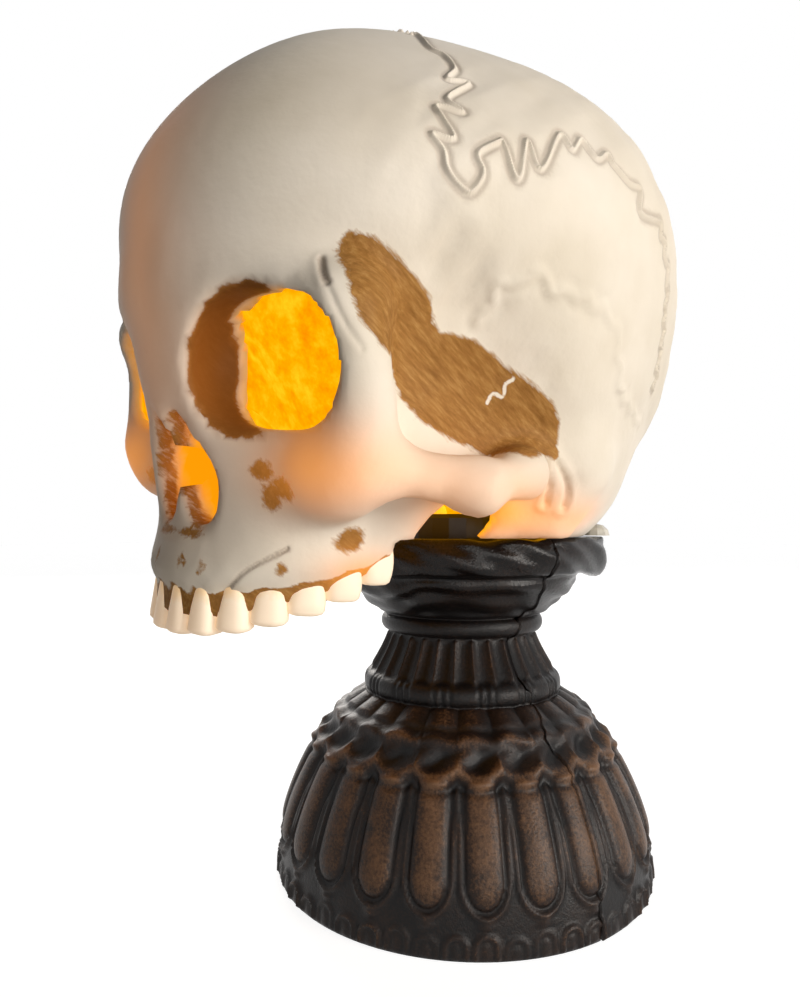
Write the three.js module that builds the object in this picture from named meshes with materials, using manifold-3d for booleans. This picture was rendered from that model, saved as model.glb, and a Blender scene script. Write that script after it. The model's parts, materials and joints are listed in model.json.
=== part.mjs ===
// Light-up skull decoration: a thin moulded skull, open below, glued at a slight lean
// into the cup of a fluted pedestal made of two half shells. Inside stand a lamp holder
// with three LEDs and, on the base plate, a battery bay with a hinged door and a slide switch.
// Millimetres, +Z up, the face looks along -Y, the middle of the underside is the origin.
import * as THREE from 'three';
import { mergeVertices } from 'three/addons/utils/BufferGeometryUtils.js';
import Module from 'manifold-3d';

const wasm = await Module();
wasm.setup();

// Clearances
const GAP = 0.3;
const OVERSHOOT = 2;

// Skull: shell, seat and lean
const SKULL_WALL = 2.6;
const SKULL_LEAN = 5;
const SKULL_CELL = 9;
const CAVITY_CELL = 20;
const VAULT = { y: -35.8, z: 136.8, halfWidth: 43.7, halfLength: 58.6, halfHeight: 64.5 };
const FOREHEAD = { y: -40.5, z: 152.7, halfWidth: 52.1, halfLength: 51.3, halfHeight: 29.3 };
const PARIETAL = { x: 19, y: -8.7, z: 158.2, halfWidth: 34.2, halfLength: 40.8, halfHeight: 34.9 };
const OCCIPUT = { y: 21, z: 133.5, halfWidth: 38, halfLength: 43.5, halfHeight: 37.5 };
const FLANK = { y: -19, z: 126.2, halfWidth: 45.5, halfLength: 42.7, halfHeight: 31.2 };
const SKULL_BASE = { y: -2, z: 106, halfWidth: 41, halfLength: 40, halfHeight: 28 };
const TEMPLE_HOLLOW = { x: 58, y: -51, z: 118, halfWidth: 18, halfLength: 29, halfHeight: 15, tilt: -30 };
const BROW = { from: [6, -86, 136], to: [34, -77, 131], r: 6.5, endR: 5.5 };
const PILLAR = { from: [36, -74, 130], to: [38, -72, 108], r: 5.6, endR: 6 };
const MAXILLA = { y: -65, z: 98, halfWidth: 27, halfLength: 20, halfHeight: 28 };
const GUM = { y: -60.5, z: 88, halfWidth: 26.5, halfLength: 26.5, halfHeight: 9.5, tilt: 14 };
const CHEEK = { x: 31, y: -71, z: 103, halfWidth: 10, halfLength: 8.5, halfHeight: 9 };
const MASTOID = { from: [39, -12, 106], to: [37, -14, 95], r: 9, endR: 5.5 };
const NOSE_BONE = { from: [0, -84, 127], to: [0, -87, 113], r: 5.5, endR: 4.5 };
const ORBIT = { x: 22.3, y: -86.5, z: 120.6, halfWidth: 16, depth: 8.5, halfHeight: 13.8, toe: -16 };
const ORBIT_HOLE = { x: 23.3, y: -74, z: 121.4, halfWidth: 13.9, depth: 17, halfHeight: 11.6 };
const NOSTRIL = { x: 6, y: -82, z: 98.8, halfWidth: 5.2, depth: 16, halfHeight: 7.6 };
const NOSE_TOP = { x: 3.2, y: -84, z: 105.5, halfWidth: 2.8, depth: 13, halfHeight: 7.2 };
const PALATE = { y: -57, z: 72, halfWidth: 15, halfLength: 22, halfHeight: 11 };
const JAW_GAP = { x: 38, y: -38, z: 84, halfWidth: 16, halfLength: 13, halfHeight: 16 };
// How widely each mass melts into the ones before it
const SOFT = {
  forehead: 14, parietal: 24, occiput: 30, flank: 20, base: 12, temple: 12,
  brow: 7, pillar: 5, maxilla: 8, gum: 6, cheek: 6, mastoid: 8, nose: 5,
};
const SKULL_MARGIN = 12;
const UNDERSIDE_FRONT_Y = -52;
const BASE_HOLE_R = 27;
const BASE_HOLE_FRONT = 16;

// Cheek arch, swept from the cheekbone back to the ear
const ARCH = {
  cheek: [37, -68, 104], bow: [47.5, -52, 101.5], rise: [45.5, -37, 104.5], ear: [35, -17, 108],
};
const ARCH_R = 4.4;

// Teeth along the gum
const TEETH_PER_SIDE = 7;
const TEETH_HALF_WIDTH = 23.5;
const TEETH_FRONT_Y = -84;
const TEETH_BACK_Y = -50;
const TEETH_FRONT_Z = 77.5;
const TEETH_BACK_Z = 90;
const TOOTH_HALF_HEIGHT = 8;
const TOOTH_HALF_DEPTH = 3.4;
const TOOTH_FILL = 0.94;
const TOOTH_ROOT = 0.5;
const TOOTH_BAND_R = 2.4;
const TOOTH_BAND_RISE = 2.6;

// Sutures: zigzag ribs where the bones of the skull meet, given on one side of the head
const CROWN_SUTURE = [
  [0, -44, 199], [14, -47, 196], [27.3, -50.5, 187.8], [40, -58, 172], [45.2, -64, 159], [48.3, -60, 151.5],
];
const SIDE_SUTURE = [
  [48.3, -60, 151.5], [51.4, -48, 161], [54.1, -28, 166.2], [54.5, -4, 158], [51, 7.5, 140], [46, 15, 127],
];
const SUTURE_PITCH = 8;
const SUTURE_SWING = 2.1;
const SUTURE_RISE = 0.7;
const SUTURE_HALF = 0.9;
const SUTURE_ROOT = 0.8;

// Pedestal: profile heights and radii at the bottom of the ornament
const BASE_R = 48.8;
const DOME_TOP_R = 32.4;
const DOME_TOP_Z = 42;
const DOME_POWER = 1.95;
const TORUS_R = 25;
const TORUS_Z = 48.5;
const TORUS_HALF = 2.6;
const NECK_FOOT_R = 24;
const NECK_FOOT_Z = 52;
const NECK_R = 19.2;
const NECK_TOP_Z = 62;
const COLLAR_R = 21.4;
const COLLAR_TOP_Z = 67;
const BOWL_FOOT_R = 23.6;
const BOWL_R = 31;
const BOWL_TOP_Z = 77.5;
const RIM_R = 34;
const RIM_TOP_Z = 87;
const RIM_WALL = 4.6;
const SHELL_WALL = 2.2;
const INSIDE_SIDES = 24;
const SEAM_TURN = -11.5;

// Pedestal ornament
const PANELS = 24;
const PANEL_TURN = 5.5;
const PANEL_COLUMNS = [0, 0.18, 0.82];
const FLUTES = 30;
const BEADS = 15;
const CUP_COLUMNS = 36;
const PANEL_DEPTH = 1.2;
const PANEL_GUTTER = -0.2;
const PANEL_FLAT = 0.4;
const PANEL_FOOT_Z = 9;
const PANEL_ROUND = 8;
const PANEL_TOP_Z = 31;
const SCALLOP_DEPTH = 1.4;
const FLUTE_DEPTH = 1.1;
const BEAD_DEPTH = 0.6;
const EAR_ANGLE = 52;
const EAR_REACH = 4.4;
const EAR_SPREAD = 16;

// Bore through the neck, lamp seat in the cup
const BORE_R = 14;
const CUP_FLOOR_Z = 66;
const CUP_FLOOR_R = 19;

// Lamp holder and lamps
const HOLDER_R = 17;
const HOLDER_TOP_Z = 93;
const HOLDER_WALL = 2;
const HOLDER_STEM = 10;
const LAMP_LEDGE = 3;
const LAMP_RECESS = 7;
const BOARD_T = 1.2;
const LED_COUNT = 3;
const LED_R = 2.5;
const LED_FLANGE_R = 2.9;
const LED_FLANGE_T = 1;
const LED_BODY = 6;
const LED_CIRCLE_R = 6.5;

// Base plate, battery bay, door
const PLATE_T = 2.5;
const BAY_Y = 17;
const BAY_L = 52;
const BAY_W = 23;
const BAY_H = 12.6;
const BAY_WALL = 1.5;
const DOOR_T = 2;
const DOOR_INSET = 0.5;
const DOOR_GAP = 0.4;
const HOOK_W = 3;
const HOOK_T = 1.5;
const HOOK_REACH = 2;
const LUG_L = 9;
const LUG_W = 10;
const LUG_BOSS_H = 8;
const DOOR_SWING_CLEAR = 0.8;

// Screws and bosses
const SCREW_HEAD_R = 2.4;
const SCREW_HEAD_T = 1.2;
const SCREW_R = 1.1;
const SCREW_L = 9;
const DOOR_SCREW_L = 7;
const BOSS_R = 3.8;
const BOSS_TOP_Z = 30;
const BOSS_CIRCLE_R = 40.4;
const REAR_BOSS_ANGLE = 8.5;
const FRONT_BOSS_ANGLE = 54;

// Batteries and contacts
const CELL_R = 5.25;
const CELL_L = 44.5;
const CELL_NUB_R = 1.9;
const CELL_NUB_L = 1;
const CELL_ROUND = 0.6;
const CELL_PITCH = 11;
const CELL_LIFT = 0.8;
const CONTACT_T = 0.4;
const CONTACT_W = 7;
const CONTACT_H = 8;
const SPRING_R = 3;
const SPRING_WIRE_R = 0.3;
const SPRING_TURNS = 3;
const SPRING_TAPER = 0.35;

// Switch
const SWITCH_Y = -20;
const SWITCH_L = 12.4;
const SWITCH_W = 6.4;
const SWITCH_H = 6;
const SWITCH_WALL = 1;
const SWITCH_TRAVEL = 3.6;
const KNOB_L = 3.6;
const KNOB_W = 2.8;
const KNOB_INSET = 0.6;
const SLIDER_L = 6;
const SLIDER_T = 1.2;
const CRADLE_T = 1.5;
const CRADLE_H = 4;

// Leads and glue
const LEAD_R = 0.7;
const LEAD_SIDE = 5;
const LEAD_TURN = 4;
const LEAD_RISE = 9;
const LEAD_GATHER = 7;
const LEAD_STEPS = 14;
const GLUE_R = 3.6;
const GLUE_H = 3.2;
const REAR_GLUE_ANGLE = 110;

const part = new THREE.Group();
part.name = 'halloween_skull_decoration';

const MATERIALS = {
  skull: { color: 0xd9cfc0, roughness: 0.5, metalness: 0 },
  bronze: { color: 0x2b221d, roughness: 0.45, metalness: 0.2 },
  black: { color: 0x161616, roughness: 0.6, metalness: 0 },
  board: { color: 0x2f5d3a, roughness: 0.6, metalness: 0 },
  led: { color: 0xffc848, roughness: 0.2, metalness: 0 },
  steel: { color: 0xb8bcc0, roughness: 0.3, metalness: 0.9 },
  cell: { color: 0x3a4a66, roughness: 0.35, metalness: 0.3 },
  red: { color: 0xa8201c, roughness: 0.5, metalness: 0 },
  lead: { color: 0x1c1c1e, roughness: 0.5, metalness: 0 },
  glue: { color: 0xc9c6bd, roughness: 0.25, metalness: 0 },
};

function addPiece(name, geometry, look) {
  const mesh = new THREE.Mesh(geometry, new THREE.MeshStandardMaterial(MATERIALS[look]));
  mesh.name = name;
  part.add(mesh);
}

// Solids: three.js surfaces in, joined or cut, and three.js surfaces out

function solid(surface) {
  const plain = surface.clone();
  plain.deleteAttribute('normal');
  plain.deleteAttribute('uv');
  const whole = mergeVertices(plain, 1e-4);
  const mesh = new wasm.Mesh({
    numProp: 3,
    vertProperties: Float32Array.from(whole.getAttribute('position').array),
    triVerts: Uint32Array.from(whole.index.array),
  });
  return new wasm.Manifold(mesh);
}

function surface(body) {
  const mesh = body.getMesh();
  const geometry = new THREE.BufferGeometry();
  geometry.setAttribute('position', new THREE.BufferAttribute(mesh.vertProperties, 3));
  geometry.setIndex(new THREE.BufferAttribute(mesh.triVerts, 1));
  return geometry;
}

function block(x0, x1, y0, y1, z0, z1) {
  const box = new THREE.BoxGeometry(x1 - x0, y1 - y0, z1 - z0);
  return solid(box.translate((x0 + x1) / 2, (y0 + y1) / 2, (z0 + z1) / 2));
}

function post(x, y, z0, z1, radius, sides = 24) {
  const cylinder = new THREE.CylinderGeometry(radius, radius, z1 - z0, sides);
  return solid(cylinder.rotateX(Math.PI / 2).translate(x, y, (z0 + z1) / 2));
}

function egg(place, half, sides) {
  const ball = new THREE.SphereGeometry(1, sides, Math.round(sides * 0.7));
  return ball.rotateX(Math.PI / 2).scale(...half).translate(...place);
}

function turned(points, sides) {
  const profile = points.map(([radius, height]) => new THREE.Vector2(radius, height));
  return new THREE.LatheGeometry(profile, sides).rotateX(Math.PI / 2);
}

// Skull masses as distance fields: negative inside

function eggField(x, y, z, half, tilt) {
  const v = y * Math.cos(tilt) + z * Math.sin(tilt);
  const w = -y * Math.sin(tilt) + z * Math.cos(tilt);
  const near = Math.hypot(x / half[0], v / half[1], w / half[2]);
  const steep = Math.hypot(x / half[0] ** 2, v / half[1] ** 2, w / half[2] ** 2);
  return near * (near - 1) / Math.max(steep, 1e-9);
}

function rodField(rod, ...p) {
  const ab = rod.to.map((value, i) => value - rod.from[i]);
  const ap = p.map((value, i) => value - rod.from[i]);
  const along = ab[0] * ap[0] + ab[1] * ap[1] + ab[2] * ap[2];
  const t = Math.min(1, Math.max(0, along / (ab[0] ** 2 + ab[1] ** 2 + ab[2] ** 2)));
  const off = Math.hypot(ap[0] - t * ab[0], ap[1] - t * ab[1], ap[2] - t * ab[2]);
  return off - (rod.r + (rod.endR - rod.r) * t);
}

function blend(a, b, width) {
  const h = Math.max(width - Math.abs(a - b), 0) / width;
  return Math.min(a, b) - h * h * width * 0.25;
}

function carve(a, b, width) {
  return -blend(-a, b, width);
}

function massField(mass, x, y, z) {
  const half = [mass.halfWidth, mass.halfLength, mass.halfHeight];
  const tilt = THREE.MathUtils.degToRad(mass.tilt ?? 0);
  return eggField(x - (mass.x ?? 0), y - mass.y, z - mass.z, half, tilt);
}

function craniumField(x, y, z) {
  let f = massField(VAULT, x, y, z);
  f = blend(f, massField(FOREHEAD, x, y, z), SOFT.forehead);
  f = blend(f, massField(PARIETAL, x, y, z), SOFT.parietal);
  f = blend(f, massField(OCCIPUT, x, y, z), SOFT.occiput);
  f = blend(f, massField(FLANK, x, y, z), SOFT.flank);
  f = blend(f, massField(SKULL_BASE, x, y, z), SOFT.base);
  return carve(f, massField(TEMPLE_HOLLOW, x, y, z), SOFT.temple);
}

function faceField(start, x, y, z) {
  let f = blend(start, rodField(BROW, x, y, z), SOFT.brow);
  f = blend(f, rodField(PILLAR, x, y, z), SOFT.pillar);
  f = blend(f, massField(MAXILLA, x, y, z), SOFT.maxilla);
  f = blend(f, massField(GUM, x, y, z), SOFT.gum);
  f = blend(f, massField(CHEEK, x, y, z), SOFT.cheek);
  f = blend(f, rodField(MASTOID, x, y, z), SOFT.mastoid);
  return blend(f, rodField(NOSE_BONE, x, y, z), SOFT.nose);
}

function skullField(px, y, z) {
  const x = Math.abs(px);
  return faceField(craniumField(x, y, z), x, y, z);
}

// The cavity stops above the gum, so that the tooth row stays solid
function cavityField(x, y, z) {
  const floor = GUM.z + GUM.halfHeight - z;
  const behind = UNDERSIDE_FRONT_Y - y;
  return Math.max(skullField(x, y, z) + SKULL_WALL, Math.min(floor, behind));
}

// Surface of a field: one vertex in each grid cell that the surface crosses

function contour(field, low, high, cell) {
  const count = low.map((value, i) => Math.ceil((high[i] - value) / cell));
  const stride = [1, count[0] + 1, (count[0] + 1) * (count[1] + 1)];
  const at = (i, j, k) => i + j * stride[1] + k * stride[2];
  const values = new Float64Array(stride[2] * (count[2] + 1));
  for (let k = 0; k <= count[2]; k += 1) {
    for (let j = 0; j <= count[1]; j += 1) {
      for (let i = 0; i <= count[0]; i += 1) {
        values[at(i, j, k)] = field(low[0] + i * cell, low[1] + j * cell, low[2] + k * cell);
      }
    }
  }
  const points = [];
  const ids = new Map();
  const vertex = (i, j, k) => {
    const key = at(i, j, k);
    if (!ids.has(key)) {
      ids.set(key, points.length / 3);
      points.push(...settle(field, cellPoint(values, at, low, cell, i, j, k), cell));
    }
    return ids.get(key);
  };
  const faces = [];
  const cross = (ijk, axis) => {
    const step = [0, 0, 0];
    step[axis] = 1;
    const a = values[at(...ijk)] < 0;
    const b = values[at(ijk[0] + step[0], ijk[1] + step[1], ijk[2] + step[2])] < 0;
    if (a === b) return;
    const u = (axis + 1) % 3;
    const v = (axis + 2) % 3;
    const around = [[-1, -1], [0, -1], [0, 0], [-1, 0]].map(([du, dv]) => {
      const c = [...ijk];
      c[u] += du;
      c[v] += dv;
      return vertex(...c);
    });
    const q = a ? around : around.reverse();
    const apart = (m, n) => [0, 1, 2].map((d) => points[3 * q[m] + d] - points[3 * q[n] + d]);
    const reach = (m, n) => Math.hypot(...apart(m, n));
    const first = reach(0, 2) <= reach(1, 3) ? 0 : 1;
    const [w0, w1, w2, w3] = [0, 1, 2, 3].map((n) => q[(n + first) % 4]);
    faces.push(w0, w1, w2, w0, w2, w3);
  };
  for (let k = 1; k < count[2]; k += 1) {
    for (let j = 1; j < count[1]; j += 1) {
      for (let i = 1; i < count[0]; i += 1) {
        [0, 1, 2].forEach((axis) => cross([i, j, k], axis));
      }
    }
  }
  const geometry = new THREE.BufferGeometry();
  geometry.setAttribute('position', new THREE.Float32BufferAttribute(points, 3));
  geometry.setIndex(faces);
  return geometry;
}

function cellPoint(values, at, low, cell, i, j, k) {
  const sum = [0, 0, 0];
  let hits = 0;
  for (let axis = 0; axis < 3; axis += 1) {
    for (let corner = 0; corner < 4; corner += 1) {
      const from = [i, j, k];
      from[(axis + 1) % 3] += corner & 1;
      from[(axis + 2) % 3] += corner >> 1;
      const to = [...from];
      to[axis] += 1;
      const a = values[at(...from)];
      const b = values[at(...to)];
      if ((a < 0) === (b < 0)) continue;
      const t = a / (a - b);
      [0, 1, 2].forEach((d) => { sum[d] += from[d] + (to[d] - from[d]) * t; });
      hits += 1;
    }
  }
  return sum.map((value, d) => low[d] + cell * value / hits);
}

// How fast the field grows along each axis
function slopeOf(field, p) {
  const h = 0.2;
  const f = field(...p);
  return [0, 1, 2].map((d) => {
    const q = [...p];
    q[d] += h;
    return (field(...q) - f) / h;
  });
}

// Moves a point along the slope of the field until it lies on the surface
function settle(field, start, cell) {
  let p = [...start];
  for (let round = 0; round < 3; round += 1) {
    const f = field(...p);
    const slope = slopeOf(field, p);
    const size = Math.max(Math.hypot(...slope), 0.3);
    const move = Math.max(-cell / 3, Math.min(cell / 3, f / size));
    p = p.map((value, d) => value - move * slope[d] / size);
  }
  return p;
}

// Skull shell

const leanSkull = (geometry) => geometry
  .translate(0, 0, -RIM_TOP_Z)
  .rotateY(THREE.MathUtils.degToRad(SKULL_LEAN))
  .translate(0, 0, RIM_TOP_Z);

function skullBox() {
  const masses = [VAULT, FOREHEAD, PARIETAL, OCCIPUT, FLANK, MAXILLA];
  const reach = (side) => Math.max(...masses.map(side)) + SKULL_MARGIN;
  return {
    wide: reach((mass) => (mass.x ?? 0) + mass.halfWidth),
    back: reach((mass) => mass.y + mass.halfLength),
    front: -reach((mass) => mass.halfLength - mass.y),
    low: -reach((mass) => mass.halfHeight - mass.z),
    top: reach((mass) => mass.z + mass.halfHeight),
  };
}

// A coarse grid can pinch two parts of the surface at one corner: a slightly finer one frees it
function fieldSolid(field, cell) {
  const box = skullBox();
  for (let size = cell; size > cell / 2; size *= 0.97) {
    const half = Math.ceil(box.wide / size) * size + size / 2;
    const outline = contour(field, [-half, box.front, box.low], [half, box.back, box.top], size);
    if (closes(outline)) return solid(leanSkull(outline));
  }
  throw new Error('the skull surface does not close');
}

function closes(geometry) {
  const corners = mergeVertices(geometry, 1e-4).index.array;
  const edges = new Set();
  for (let n = 0; n < corners.length; n += 1) {
    const next = n % 3 === 2 ? n - 2 : n + 1;
    edges.add(`${corners[n]} ${corners[next]}`);
  }
  const paired = [...edges].every((edge) => edges.has(edge.split(' ').reverse().join(' ')));
  return paired && edges.size === corners.length;
}

function archCurve(side) {
  const points = [ARCH.cheek, ARCH.bow, ARCH.rise, ARCH.ear];
  return new THREE.CatmullRomCurve3(points.map(([x, y, z]) => new THREE.Vector3(side * x, y, z)));
}

function tube(curve, radius, sides, steps) {
  const ring = new THREE.Shape();
  for (let i = 0; i <= sides; i += 1) {
    const a = (i / sides) * 2 * Math.PI;
    ring[i ? 'lineTo' : 'moveTo'](radius * Math.cos(a), radius * Math.sin(a));
  }
  return new THREE.ExtrudeGeometry(ring, { steps, bevelEnabled: false, extrudePath: curve });
}

// A crown with a flat biting edge that narrows to its root; neighbours share the length of the arch
function tooth(side, index) {
  const share = 1 / TEETH_PER_SIDE;
  const along = (index + 0.5) * share;
  const swing = along * Math.PI / 2;
  const long = TEETH_BACK_Y - TEETH_FRONT_Y;
  const run = Math.hypot(TEETH_HALF_WIDTH * Math.cos(swing), long * Math.sin(swing));
  const pitch = run * share * Math.PI / 2;
  const high = TOOTH_HALF_HEIGHT;
  const crown = turned([[0, -high], [0.75, -high], [1, -high * 0.6], [TOOTH_ROOT, high], [0, high]], 6);
  crown.scale(pitch * TOOTH_FILL / 2, TOOTH_HALF_DEPTH, 1).rotateZ(side * swing);
  const rise = TEETH_FRONT_Z + (TEETH_BACK_Z - TEETH_FRONT_Z) * along ** 2;
  const x = side * TEETH_HALF_WIDTH * Math.sin(swing);
  return crown.translate(x, TEETH_BACK_Y - long * Math.cos(swing), rise);
}

// Ridge that backs the crowns, from the last tooth of one side round to that of the other
function toothBand() {
  const places = [];
  for (let i = -TEETH_PER_SIDE; i <= TEETH_PER_SIDE; i += 2) {
    const along = i / TEETH_PER_SIDE;
    const swing = along * Math.PI / 2;
    const y = TEETH_BACK_Y - (TEETH_BACK_Y - TEETH_FRONT_Y) * Math.cos(swing);
    const z = TEETH_FRONT_Z + (TEETH_BACK_Z - TEETH_FRONT_Z) * along ** 2 + TOOTH_BAND_RISE;
    places.push(new THREE.Vector3(TEETH_HALF_WIDTH * Math.sin(swing), y, z));
  }
  return tube(new THREE.CatmullRomCurve3(places), TOOTH_BAND_R, 4, 12);
}

// Rib with three corners to a section: a crest and two feet sunk in the bone, swung to and fro along a path
function suture(side, places) {
  const line = new THREE.CatmullRomCurve3(places.map((place) => new THREE.Vector3(...place)));
  const count = Math.round(line.getLength() / SUTURE_PITCH) * 2;
  const points = steps(0, count, count).flatMap((i) => {
    const start = line.getPointAt(i / count).toArray();
    const out = new THREE.Vector3(...slopeOf(skullField, start)).normalize();
    const across = new THREE.Vector3().crossVectors(out, line.getTangentAt(i / count)).normalize();
    const swung = new THREE.Vector3(...start).addScaledVector(across, i % 2 ? SUTURE_SWING : -SUTURE_SWING);
    const spot = new THREE.Vector3(...settle(skullField, swung.toArray(), SKULL_CELL));
    const corner = (sideways, rise) => {
      const { x, y, z } = spot.clone().addScaledVector(across, sideways).addScaledVector(out, rise);
      return [side * x, y, z];
    };
    const feet = [...corner(-SUTURE_HALF, -SUTURE_ROOT), ...corner(SUTURE_HALF, -SUTURE_ROOT)];
    return [...feet, ...corner(0, SUTURE_RISE)];
  });
  const faces = [0, 2, 1, 3 * count, 3 * count + 1, 3 * count + 2];
  for (let i = 0; i < count; i += 1) {
    for (let corner = 0; corner < 3; corner += 1) {
      const a = 3 * i + corner;
      const b = 3 * i + (corner + 1) % 3;
      faces.push(a, b, b + 3, a, b + 3, a + 3);
    }
  }
  const geometry = new THREE.BufferGeometry();
  geometry.setAttribute('position', new THREE.Float32BufferAttribute(points, 3));
  geometry.setIndex(side > 0 ? faces : faces.reverse());
  return geometry;
}

function skullOutside() {
  let body = fieldSolid(skullField, SKULL_CELL).add(solid(leanSkull(toothBand())));
  for (const side of [-1, 1]) {
    body = body.add(solid(leanSkull(tube(archCurve(side), ARCH_R, 7, 8))));
    for (const path of [CROWN_SUTURE, SIDE_SUTURE]) body = body.add(solid(leanSkull(suture(side, path))));
    for (let i = 0; i < TEETH_PER_SIDE; i += 1) body = body.add(solid(leanSkull(tooth(side, i))));
  }
  return body;
}

// Sockets, nose and palate as eggs; grown by the wall they also hold the cavity off
function recesses(grow, orbitSides) {
  const eggs = [[0, PALATE, 9]];
  for (const side of [-1, 1]) eggs.push([side, ORBIT, orbitSides], [side, NOSTRIL, 8], [side, NOSE_TOP, 7]);
  return eggs.map(([side, mass, sides]) => {
    const half = [mass.halfWidth, mass.depth ?? mass.halfLength, mass.halfHeight];
    const recess = egg([0, 0, 0], half.map((size) => size + grow), sides);
    recess.rotateZ(THREE.MathUtils.degToRad(side * (mass.toe ?? 0)));
    return solid(leanSkull(recess.translate(side * (mass.x ?? 0), mass.y, mass.z)));
  });
}

// Ways through the wall: behind each socket and below each cheek arch
function skullOpenings() {
  const eggs = [];
  for (const side of [-1, 1]) {
    for (const [mass, sides] of [[ORBIT_HOLE, 12], [JAW_GAP, 8]]) {
      const half = [mass.halfWidth, mass.depth ?? mass.halfLength, mass.halfHeight];
      eggs.push(egg([side * mass.x, mass.y, mass.z], half, sides));
    }
  }
  return eggs.map((geometry) => solid(leanSkull(geometry)));
}

function skullUnderside() {
  const box = skullBox();
  const seat = RIM_TOP_Z + GAP;
  const under = block(-box.wide * 2, box.wide * 2, UNDERSIDE_FRONT_Y, box.back * 2, -OVERSHOOT, seat);
  const hole = new THREE.CylinderGeometry(BASE_HOLE_R, BASE_HOLE_R, 4 * SKULL_WALL, 24);
  hole.rotateX(Math.PI / 2).scale(1, 1 + BASE_HOLE_FRONT / (2 * BASE_HOLE_R), 1);
  return [under, solid(hole.translate(0, -BASE_HOLE_FRONT / 2, seat))];
}

function makeSkull(outside) {
  let cavity = fieldSolid(cavityField, CAVITY_CELL);
  for (const recess of recesses(SKULL_WALL, 9)) cavity = cavity.subtract(recess);
  let body = outside;
  const cuts = [...recesses(0, 14), cavity, ...skullOpenings(), ...skullUnderside()];
  for (const cut of cuts) body = body.subtract(cut);
  const pieces = body.decompose().sort((a, b) => b.volume() - a.volume());
  addPiece('skull_shell', surface(pieces[0]), 'skull');
}

// Pedestal: height and radius of the plain profile, then the ornament that stands on it

const SEAM = THREE.MathUtils.degToRad(SEAM_TURN);

function domeR(z) {
  return BASE_R - (BASE_R - DOME_TOP_R) * (z / DOME_TOP_Z) ** DOME_POWER;
}

function neckR(z) {
  const down = (NECK_TOP_Z - z) / (NECK_TOP_Z - NECK_FOOT_Z);
  return NECK_R + (NECK_FOOT_R - NECK_R) * down ** 1.3;
}

function bowlR(z) {
  const up = (z - COLLAR_TOP_Z) / (BOWL_TOP_Z - COLLAR_TOP_Z);
  return BOWL_FOOT_R + (BOWL_R - BOWL_FOOT_R) * Math.sin(up * Math.PI / 2) ** 1.2;
}

function steps(from, to, count) {
  return Array.from({ length: count + 1 }, (_, i) => from + (to - from) * i / count);
}

function domeRows() {
  const rows = [[domeR(0), 0, 'plain'], [domeR(PANEL_FOOT_Z / 2), PANEL_FOOT_Z / 2, 'plain']];
  steps(PANEL_FOOT_Z, PANEL_TOP_Z, 4).forEach((z) => rows.push([domeR(z), z, 'panel']));
  steps(PANEL_TOP_Z + 2, DOME_TOP_Z - 2, 2).forEach((z) => rows.push([domeR(z), z, 'scallop']));
  rows.push([DOME_TOP_R - 1.6, DOME_TOP_Z + 1, 'plain']);
  rows.push([TORUS_R - 1, TORUS_Z - TORUS_HALF, 'plain']);
  rows.push([TORUS_R - 2, TORUS_Z, 'plain']);
  return rows;
}

function neckRows() {
  const rows = [[TORUS_R - 0.4, TORUS_Z - TORUS_HALF, 'plain']];
  rows.push([TORUS_R + 0.9, TORUS_Z - TORUS_HALF * 0.5, 'bead']);
  rows.push([TORUS_R + 0.9, TORUS_Z + TORUS_HALF * 0.5, 'bead']);
  rows.push([NECK_FOOT_R - 0.4, TORUS_Z + TORUS_HALF, 'plain']);
  steps(NECK_FOOT_Z, NECK_TOP_Z - 1, 2).forEach((z) => rows.push([neckR(z), z, 'flute']));
  rows.push([NECK_R, NECK_TOP_Z + 1, 'plain']);
  return rows;
}

function cupRows() {
  const rows = [[NECK_R - 1, NECK_TOP_Z - 1, 'plain'], [NECK_R - 0.5, NECK_TOP_Z + 0.4, 'plain']];
  rows.push([COLLAR_R, NECK_TOP_Z + 1.6, 'plain']);
  rows.push([COLLAR_R, COLLAR_TOP_Z - 1, 'plain']);
  steps(COLLAR_TOP_Z, BOWL_TOP_Z, 3).forEach((z) => rows.push([bowlR(z), z, 'plain']));
  rows.push([RIM_R, BOWL_TOP_Z + 1.5, 'rim']);
  rows.push([RIM_R + 0.8, (BOWL_TOP_Z + RIM_TOP_Z) / 2, 'rim']);
  rows.push([RIM_R, RIM_TOP_Z, 'rim']);
  return rows;
}

function wave(angle, count) {
  return ((angle * count / (2 * Math.PI)) % 1 + 1) % 1;
}

function crest(phase) {
  return Math.sin(phase * Math.PI) ** 0.6;
}

// A tongue panel stands flat between two gutters and has a round foot
function panelRelief(phase, z) {
  const foot = Math.min(1, (z - PANEL_FOOT_Z) / PANEL_ROUND);
  const half = 0.5 * Math.sqrt(Math.max(0, 1 - (1 - foot) ** 2));
  const off = Math.abs(phase - 0.5);
  if (off > half) return 0;
  return off > PANEL_FLAT ? PANEL_GUTTER : PANEL_DEPTH;
}

function ornament(kind, angle, z) {
  if (kind === 'panel') return panelRelief(wave(angle, PANELS), z);
  if (kind === 'scallop') return SCALLOP_DEPTH * crest(wave(angle, PANELS));
  if (kind === 'flute') return FLUTE_DEPTH * (1 - crest(wave(angle, FLUTES)));
  if (kind === 'bead') return BEAD_DEPTH * crest(wave(angle, BEADS));
  if (kind === 'rim') {
    const off = THREE.MathUtils.radToDeg(angle) - EAR_ANGLE;
    return EAR_REACH * Math.exp(-((off / EAR_SPREAD) ** 2));
  }
  return 0;
}

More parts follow.
